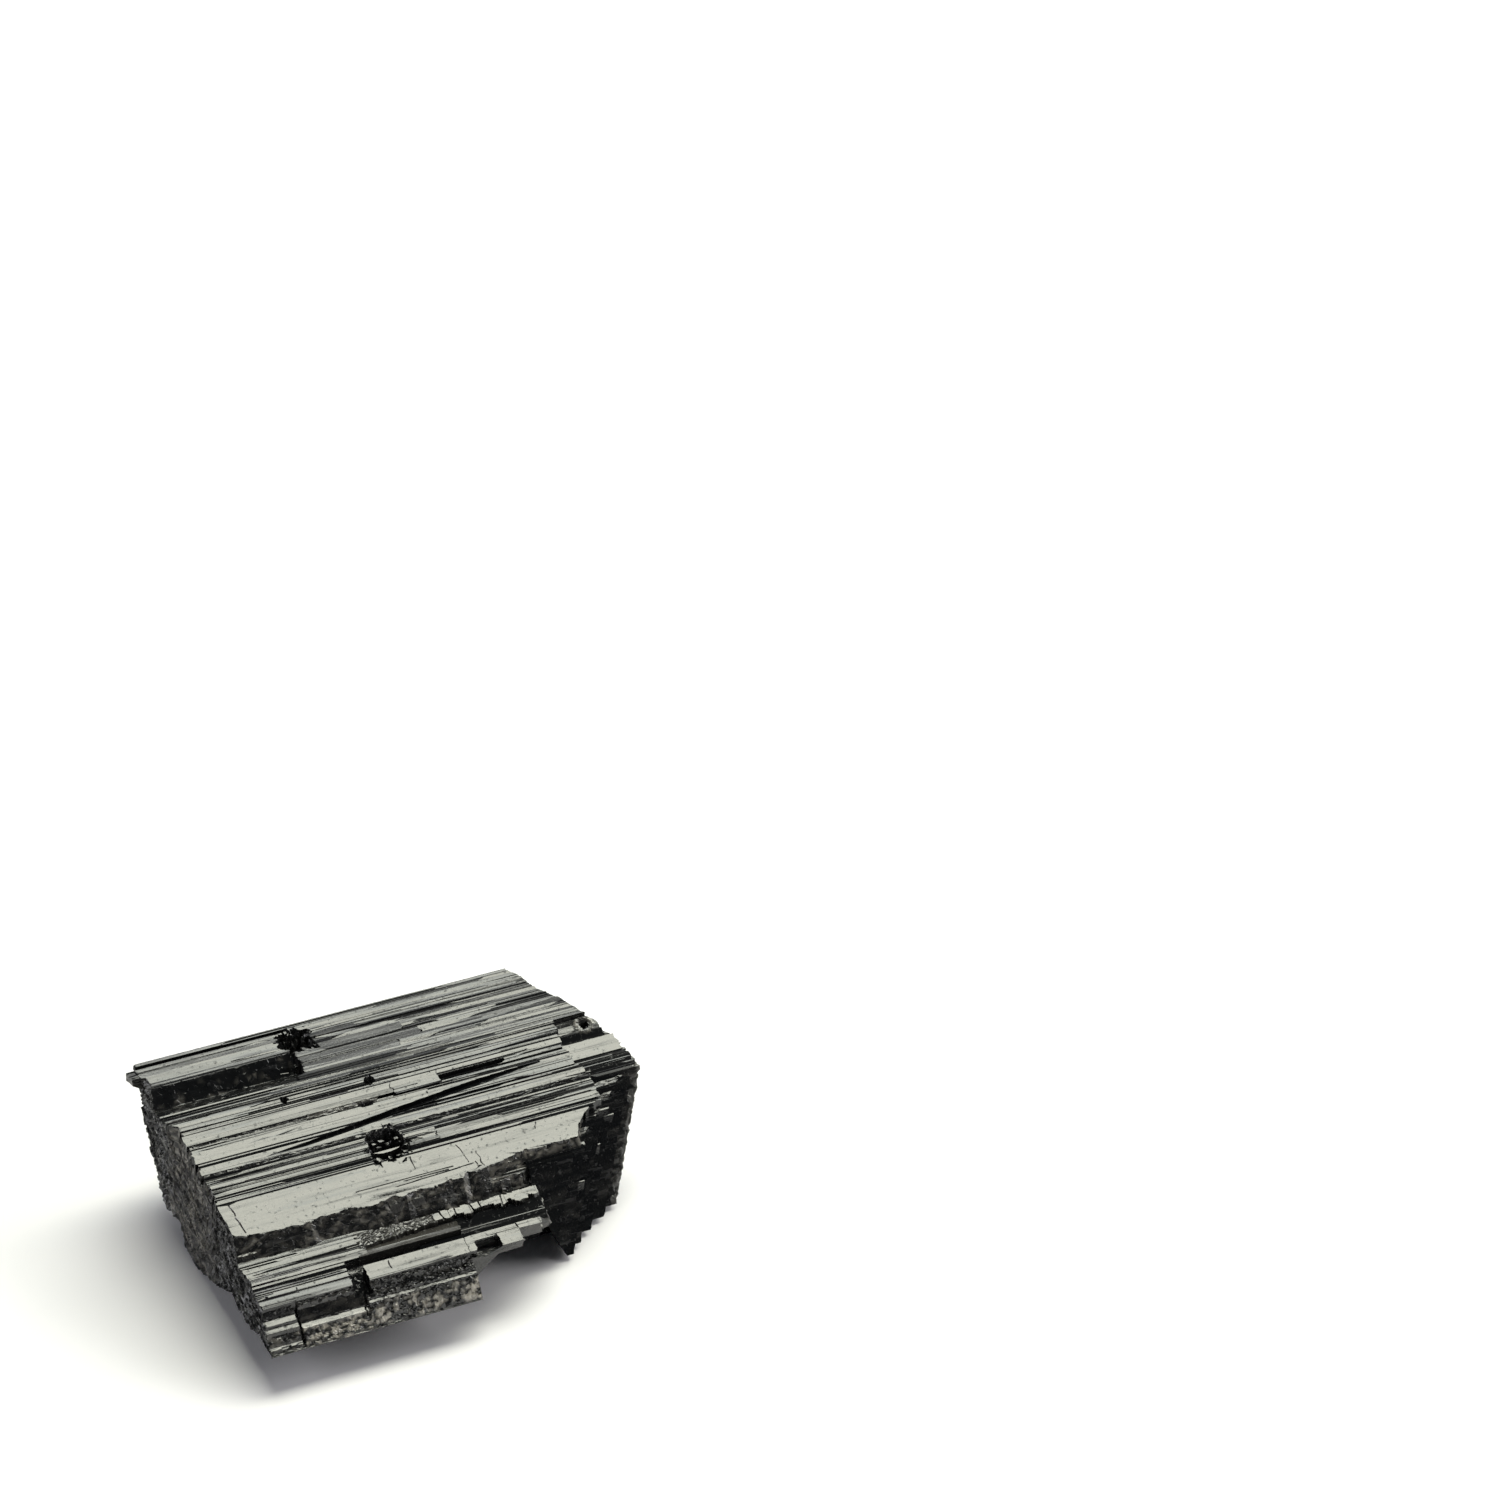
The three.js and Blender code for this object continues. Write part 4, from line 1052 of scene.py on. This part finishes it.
def build_arrays():
    surface = top_surface()
    under_along, under_across, under_height, grain_under = under_surface()
    floor = np.array([np.interp(ALONG[row], under_along[row], under_height[row]) for row in range(row_count)])
    forward = (ROWS > 10.6)[:, None]
    height = np.where(forward, np.maximum(surface.height, floor + 0.06), surface.height)
    top = np.stack([ALONG, ACROSS, height], axis=-1)
    under = np.stack([under_along, under_across, under_height], axis=-1)
    left, grain_left, paleness_left = cap_points(top[:, 0], under[:, 0], left_end, -1)
    right, grain_right, crust_right = cap_points(top[:, -1], under[:, -1], right_end, 1)
    parts = [top, under, left, right]
    grains = [surface.grain, grain_under, grain_left, grain_right]
    palenesses = [surface.paleness, np.zeros(grain_under.shape), paleness_left, crust_right]
    counts = [part.shape[0] * part.shape[1] for part in parts]
    starts = np.cumsum([0] + counts)
    numbers = [
        np.arange(count).reshape(part.shape[:2]) + start
        for part, count, start in zip(parts, counts, starts)
    ]
    points = [part.reshape(-1, 3) for part in parts]
    looks = [[part.reshape(-1) for part in kind] for kind in (grains, palenesses)]
    faces = [build_faces(numbers)]
    start = starts[-1]
    for shell_points, shell_faces, worn in flank_shells():
        points.append(shell_points)
        looks[0].append(WORN_GRAIN * worn)
        looks[1].append(WORN_CRUST * worn)
        faces.append(shell_faces + start)
        start += len(shell_points)
    return np.concatenate(points), [np.concatenate(kind) for kind in looks], np.concatenate(faces)


def grid_faces(grid, flip):
    a = grid[:-1, :-1].ravel()
    b = grid[1:, :-1].ravel()
    c = grid[1:, 1:].ravel()
    d = grid[:-1, 1:].ravel()
    quads = np.stack([a, b, c, d], axis=1) if not flip else np.stack([a, d, c, b], axis=1)
    return np.concatenate([quads[:, [0, 1, 2]], quads[:, [0, 2, 3]]])


# Triangles between a fine line of points and a coarse one that has every fourth of its stations
def stitch(fine, coarse, flip):
    faces = []
    for index in range(len(coarse) - 1):
        start = index * 4
        stop = min(start + 4, len(fine) - 1)
        middle = (start + stop) // 2
        for step in range(start, middle):
            faces.append((fine[step], fine[step + 1], coarse[index]))
        faces.append((fine[middle], coarse[index + 1], coarse[index]))
        for step in range(middle, stop):
            faces.append((fine[step], fine[step + 1], coarse[index + 1]))
    faces = np.array(faces)
    return faces[:, ::-1] if flip else faces


def build_faces(numbers):
    top, under, left, right = numbers
    faces = [grid_faces(top, False), grid_faces(under, True)]
    left_grid = np.concatenate([top[:, :1], left, under[:, :1]], axis=1)
    right_grid = np.concatenate([top[:, -1:], right, under[:, -1:]], axis=1)
    faces.append(grid_faces(left_grid, True))
    faces.append(grid_faces(right_grid, False))
    faces.append(stitch(top[0], under[0], False))
    faces.append(stitch(top[-1], under[-1], True))
    # the short ends of the back and front seams meet the caps
    for row, flip in ((0, True), (-1, False)):
        for grid, side in ((left_grid, False), (right_grid, True)):
            line = grid[row]
            fan = np.stack([np.full(len(line) - 2, line[0]), line[1:-1], line[2:]], axis=1)
            faces.append(fan if flip == side else fan[:, ::-1])
    return np.concatenate(faces)


def mesh_from(points, faces, looks, name):
    placed = np.empty(points.shape, np.float32)
    placed[:, 0] = (points[:, 0] - ALONG_SHIFT) * MM
    placed[:, 1] = (ACROSS_SHIFT - points[:, 1]) * MM
    placed[:, 2] = points[:, 2] * MM
    mesh = bpy.data.meshes.new(name)
    mesh.vertices.add(len(placed))
    mesh.vertices.foreach_set("co", placed.ravel())
    mesh.loops.add(len(faces) * 3)
    mesh.loops.foreach_set("vertex_index", faces.astype(np.int32).ravel())
    mesh.polygons.add(len(faces))
    mesh.polygons.foreach_set("loop_start", np.arange(0, len(faces) * 3, 3, dtype=np.int32))
    mesh.update(calc_edges=True)
    for look_name, values in zip(("grain", "paleness"), looks):
        attribute = mesh.attributes.new(look_name, "FLOAT", "POINT")
        attribute.data.foreach_set("value", values.astype(np.float32))
    return mesh


# The stone: a dense mesh with every ridge, thinned where it is flat
def make_stone(material):
    points, looks, faces = build_arrays()
    mesh = mesh_from(points, faces, looks, "stone_dense")
    dense = bpy.data.objects.new("stone_dense", mesh)
    bpy.context.scene.collection.objects.link(dense)
    thin = dense.modifiers.new("thin", "DECIMATE")
    thin.decimate_type = "COLLAPSE"
    thin.ratio = min(1.0, TRIANGLES / len(faces))
    graph = bpy.context.evaluated_depsgraph_get()
    result = bpy.data.meshes.new_from_object(dense.evaluated_get(graph))
    bpy.data.objects.remove(dense)
    bpy.data.meshes.remove(mesh)
    result.name = "stone"
    result.polygons.foreach_set("use_smooth", np.ones(len(result.polygons), bool))
    result.set_sharp_from_angle(angle=SHARP_FROM)
    result.materials.clear()
    result.materials.append(material)
    stone = bpy.data.objects.new("stone", result)
    bpy.context.scene.collection.objects.link(stone)
    return stone


# Roughness of glossy and dull places, what specks and streaks add to it, and the colours of the stone
GLOSSY = 0.15
DULL = 0.42
SPECK_DULL = 0.35
STREAK_DULL = 0.22
BLACK = (0.0035, 0.0038, 0.0042, 1)
DULL_BLACK = (0.030, 0.029, 0.028, 1)
PALE = (0.60, 0.56, 0.49, 1)


def stone_material():
    material = bpy.data.materials.new("tourmaline")
    material.use_nodes = True
    nodes = material.node_tree.nodes
    links = material.node_tree.links
    nodes.clear()
    place = nodes.new("ShaderNodeTexCoord").outputs["Object"]

    def fill(socket, source):
        if isinstance(source, (float, tuple)):
            socket.default_value = source
        else:
            links.new(source, socket)

    def attribute(name):
        node = nodes.new("ShaderNodeAttribute")
        node.attribute_name = name
        return node.outputs["Fac"]

    def noise_map(scale, detail, stretch=None):
        source = place
        if stretch:
            mapping = nodes.new("ShaderNodeMapping")
            mapping.inputs["Scale"].default_value = stretch
            links.new(source, mapping.inputs["Vector"])
            source = mapping.outputs["Vector"]
        node = nodes.new("ShaderNodeTexNoise")
        node.inputs["Scale"].default_value = scale
        node.inputs["Detail"].default_value = detail
        links.new(source, node.inputs["Vector"])
        return node.outputs["Fac"]

    def map_range(source, low, high, to_low=0.0, to_high=1.0):
        node = nodes.new("ShaderNodeMapRange")
        values = {"From Min": low, "From Max": high, "To Min": to_low, "To Max": to_high}
        for name, value in values.items():
            node.inputs[name].default_value = value
        links.new(source, node.inputs["Value"])
        return node.outputs["Result"]

    def calculate(operation, *sources):
        node = nodes.new("ShaderNodeMath")
        node.operation = operation
        for socket, source in zip(node.inputs, sources):
            fill(socket, source)
        return node.outputs["Value"]

    def blend(factor, first, second):
        node = nodes.new("ShaderNodeMix")
        node.data_type = "RGBA"
        for name, source in (("Factor", factor), ("A", first), ("B", second)):
            fill(node.inputs[name], source)
        return node.outputs["Result"]

    def bump(height, strength, distance, normal=None):
        node = nodes.new("ShaderNodeBump")
        node.inputs["Strength"].default_value = strength
        node.inputs["Distance"].default_value = distance
        links.new(height, node.inputs["Height"])
        if normal:
            links.new(normal, node.inputs["Normal"])
        return node.outputs["Normal"]

    grain = attribute("grain")
    paleness = attribute("paleness")
    specks = map_range(noise_map(2600, 2), 0.60, 0.74)
    streaks = map_range(noise_map(1.0, 2, (110, 2600, 2600)), 0.52, 0.72)
    roughness = calculate("MULTIPLY_ADD", specks, SPECK_DULL, map_range(grain, 0.0, 1.0, GLOSSY, DULL))
    roughness = calculate("MULTIPLY_ADD", streaks, STREAK_DULL, roughness)
    # the pale colour is mixed in where the paleness attribute asks for it: pale crust, and in a few places
    # painted glints and highlights
    color = blend(paleness, blend(grain, BLACK, DULL_BLACK), PALE)
    scratches = bump(noise_map(1.0, 3, (60, 5200, 5200)), 0.6, 0.00001)
    relief = calculate("MULTIPLY", noise_map(5200, 4), calculate("ADD", grain, 0.2))
    normal = bump(relief, 0.8, 0.00006, scratches)

    shader = nodes.new("ShaderNodeBsdfPrincipled")
    shader.inputs["IOR"].default_value = 1.64
    for name, source in (("Roughness", roughness), ("Base Color", color), ("Normal", normal)):
        links.new(source, shader.inputs[name])
    output = nodes.new("ShaderNodeOutputMaterial")
    links.new(shader.outputs["BSDF"], output.inputs["Surface"])
    return material


def floor_material():
    material = bpy.data.materials.new("table")
    material.use_nodes = True
    shader = material.node_tree.nodes["Principled BSDF"]
    shader.inputs["Base Color"].default_value = (0.95, 0.94, 0.97, 1)
    shader.inputs["Roughness"].default_value = 0.9
    shader.inputs["Specular IOR Level"].default_value = 0.1
    return material


def make_floor():
    half = 0.9
    level = -0.00002
    mesh = bpy.data.meshes.new("table")
    corners = [(-half, -half, level), (half, -half, level), (half, half, level), (-half, half, level)]
    mesh.from_pydata(corners, [], [(0, 1, 2, 3)])
    mesh.materials.append(floor_material())
    table = bpy.data.objects.new("table", mesh)
    bpy.context.scene.collection.objects.link(table)


def area_light(name, direction, distance, width, height, radiance, color):
    light = bpy.data.lights.new(name, "AREA")
    light.shape = "RECTANGLE"
    light.size = width
    light.size_y = height
    light.energy = radiance * math.pi * width * height
    light.color = color
    holder = bpy.data.objects.new(name, light)
    bpy.context.scene.collection.objects.link(holder)
    toward = Vector(direction).normalized()
    level = (Vector((1, 0, 0)) - toward * toward.x).normalized()
    upright = toward.cross(level)
    turn = Matrix((level, upright, toward)).transposed()
    holder.matrix_world = Matrix.Translation(toward * distance) @ turn.to_4x4()
    return holder


# Panels over the back of the stone, each with the angle above the far horizon at which the ridges mirror it,
# its half angle, distance, width, how far it is set to the right, radiance and colour
def make_lights():
    for name, angle, half_angle, distance, width, aside, radiance, color in (
        ("softbox", 73.2, 2.8, 0.70, 0.85, 0.13, 9.3, (1.0, 1.0, 0.865)),
        ("softbox_middle", 67.6, 2.8, 0.70, 0.85, 0.13, 7.9, (1.0, 1.0, 0.865)),
        ("softbox_low", 60.6, 4.2, 0.70, 0.85, 0.13, 6.9, (0.96, 1.0, 0.90)),
        ("softbox_high", 79.8, 3.8, 0.70, 0.85, 0.13, 6.6, (0.98, 1.0, 0.88)),
        ("middle_panel", 52.2, 4.3, 0.72, 0.7, 0.08, 4.2, (0.98, 1.0, 0.94)),
        ("back_panel", 41.0, 7.0, 0.75, 0.7, 0.08, 1.15, (0.98, 1.0, 0.96)),
        ("low_panel", 28.0, 6.0, 0.80, 0.7, 0.08, 0.45, (0.9, 0.95, 1.0)),
    ):
        turn = math.radians(angle)
        direction = (0.297, 0.955 * math.cos(turn), 0.955 * math.sin(turn))
        height = 2 * distance * math.tan(math.radians(half_angle))
        panel = area_light(name, direction, distance, width, height, radiance, color)
        panel.matrix_world = Matrix.Translation((aside, 0, 0)) @ panel.matrix_world
    area_light("side_panel", (-0.85, 0.1, 0.5), 0.9, 0.35, 0.35, 3.6, (0.97, 0.97, 1.0))
    area_light("right_panel", (0.92, -0.22, 0.42), 0.9, 0.5, 0.5, 5.0, (1.0, 0.99, 0.98))
    world = bpy.data.worlds.new("room")
    world.use_nodes = True
    background = world.node_tree.nodes["Background"]
    background.inputs["Color"].default_value = (0.85, 0.93, 1.0, 1)
    background.inputs["Strength"].default_value = 0.05
    bpy.context.scene.world = world


def make_camera():
    azimuth = math.radians(-27.19)
    elevation = math.radians(35.98)
    roll = math.radians(2.80)
    distance = 0.61227
    aim_along = 80.752
    aim_across = -38.66
    aim = Vector(((aim_along - ALONG_SHIFT) * MM, (ACROSS_SHIFT - aim_across) * MM, 0.0))
    outward = math.cos(elevation)
    back = Vector((math.sin(azimuth) * outward, -math.cos(azimuth) * outward, math.sin(elevation)))
    level = Vector((math.cos(azimuth), math.sin(azimuth), 0))
    upright = back.cross(level)
    right = level * math.cos(roll) + upright * math.sin(roll)
    up = upright * math.cos(roll) - level * math.sin(roll)
    camera = bpy.data.cameras.new("camera")
    camera.sensor_width = 36
    camera.lens = 144
    camera.clip_start = 0.01
    camera.clip_end = 10
    holder = bpy.data.objects.new("camera", camera)
    bpy.context.scene.collection.objects.link(holder)
    turn = Matrix((right, up, back)).transposed()
    holder.matrix_world = Matrix.Translation(aim + back * distance) @ turn.to_4x4()
    bpy.context.scene.camera = holder


stone = make_stone(stone_material())
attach(stone, "root")
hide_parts("tourmaline")
make_floor()
make_lights()
make_camera()
bpy.context.scene.view_settings.view_transform = "Standard"
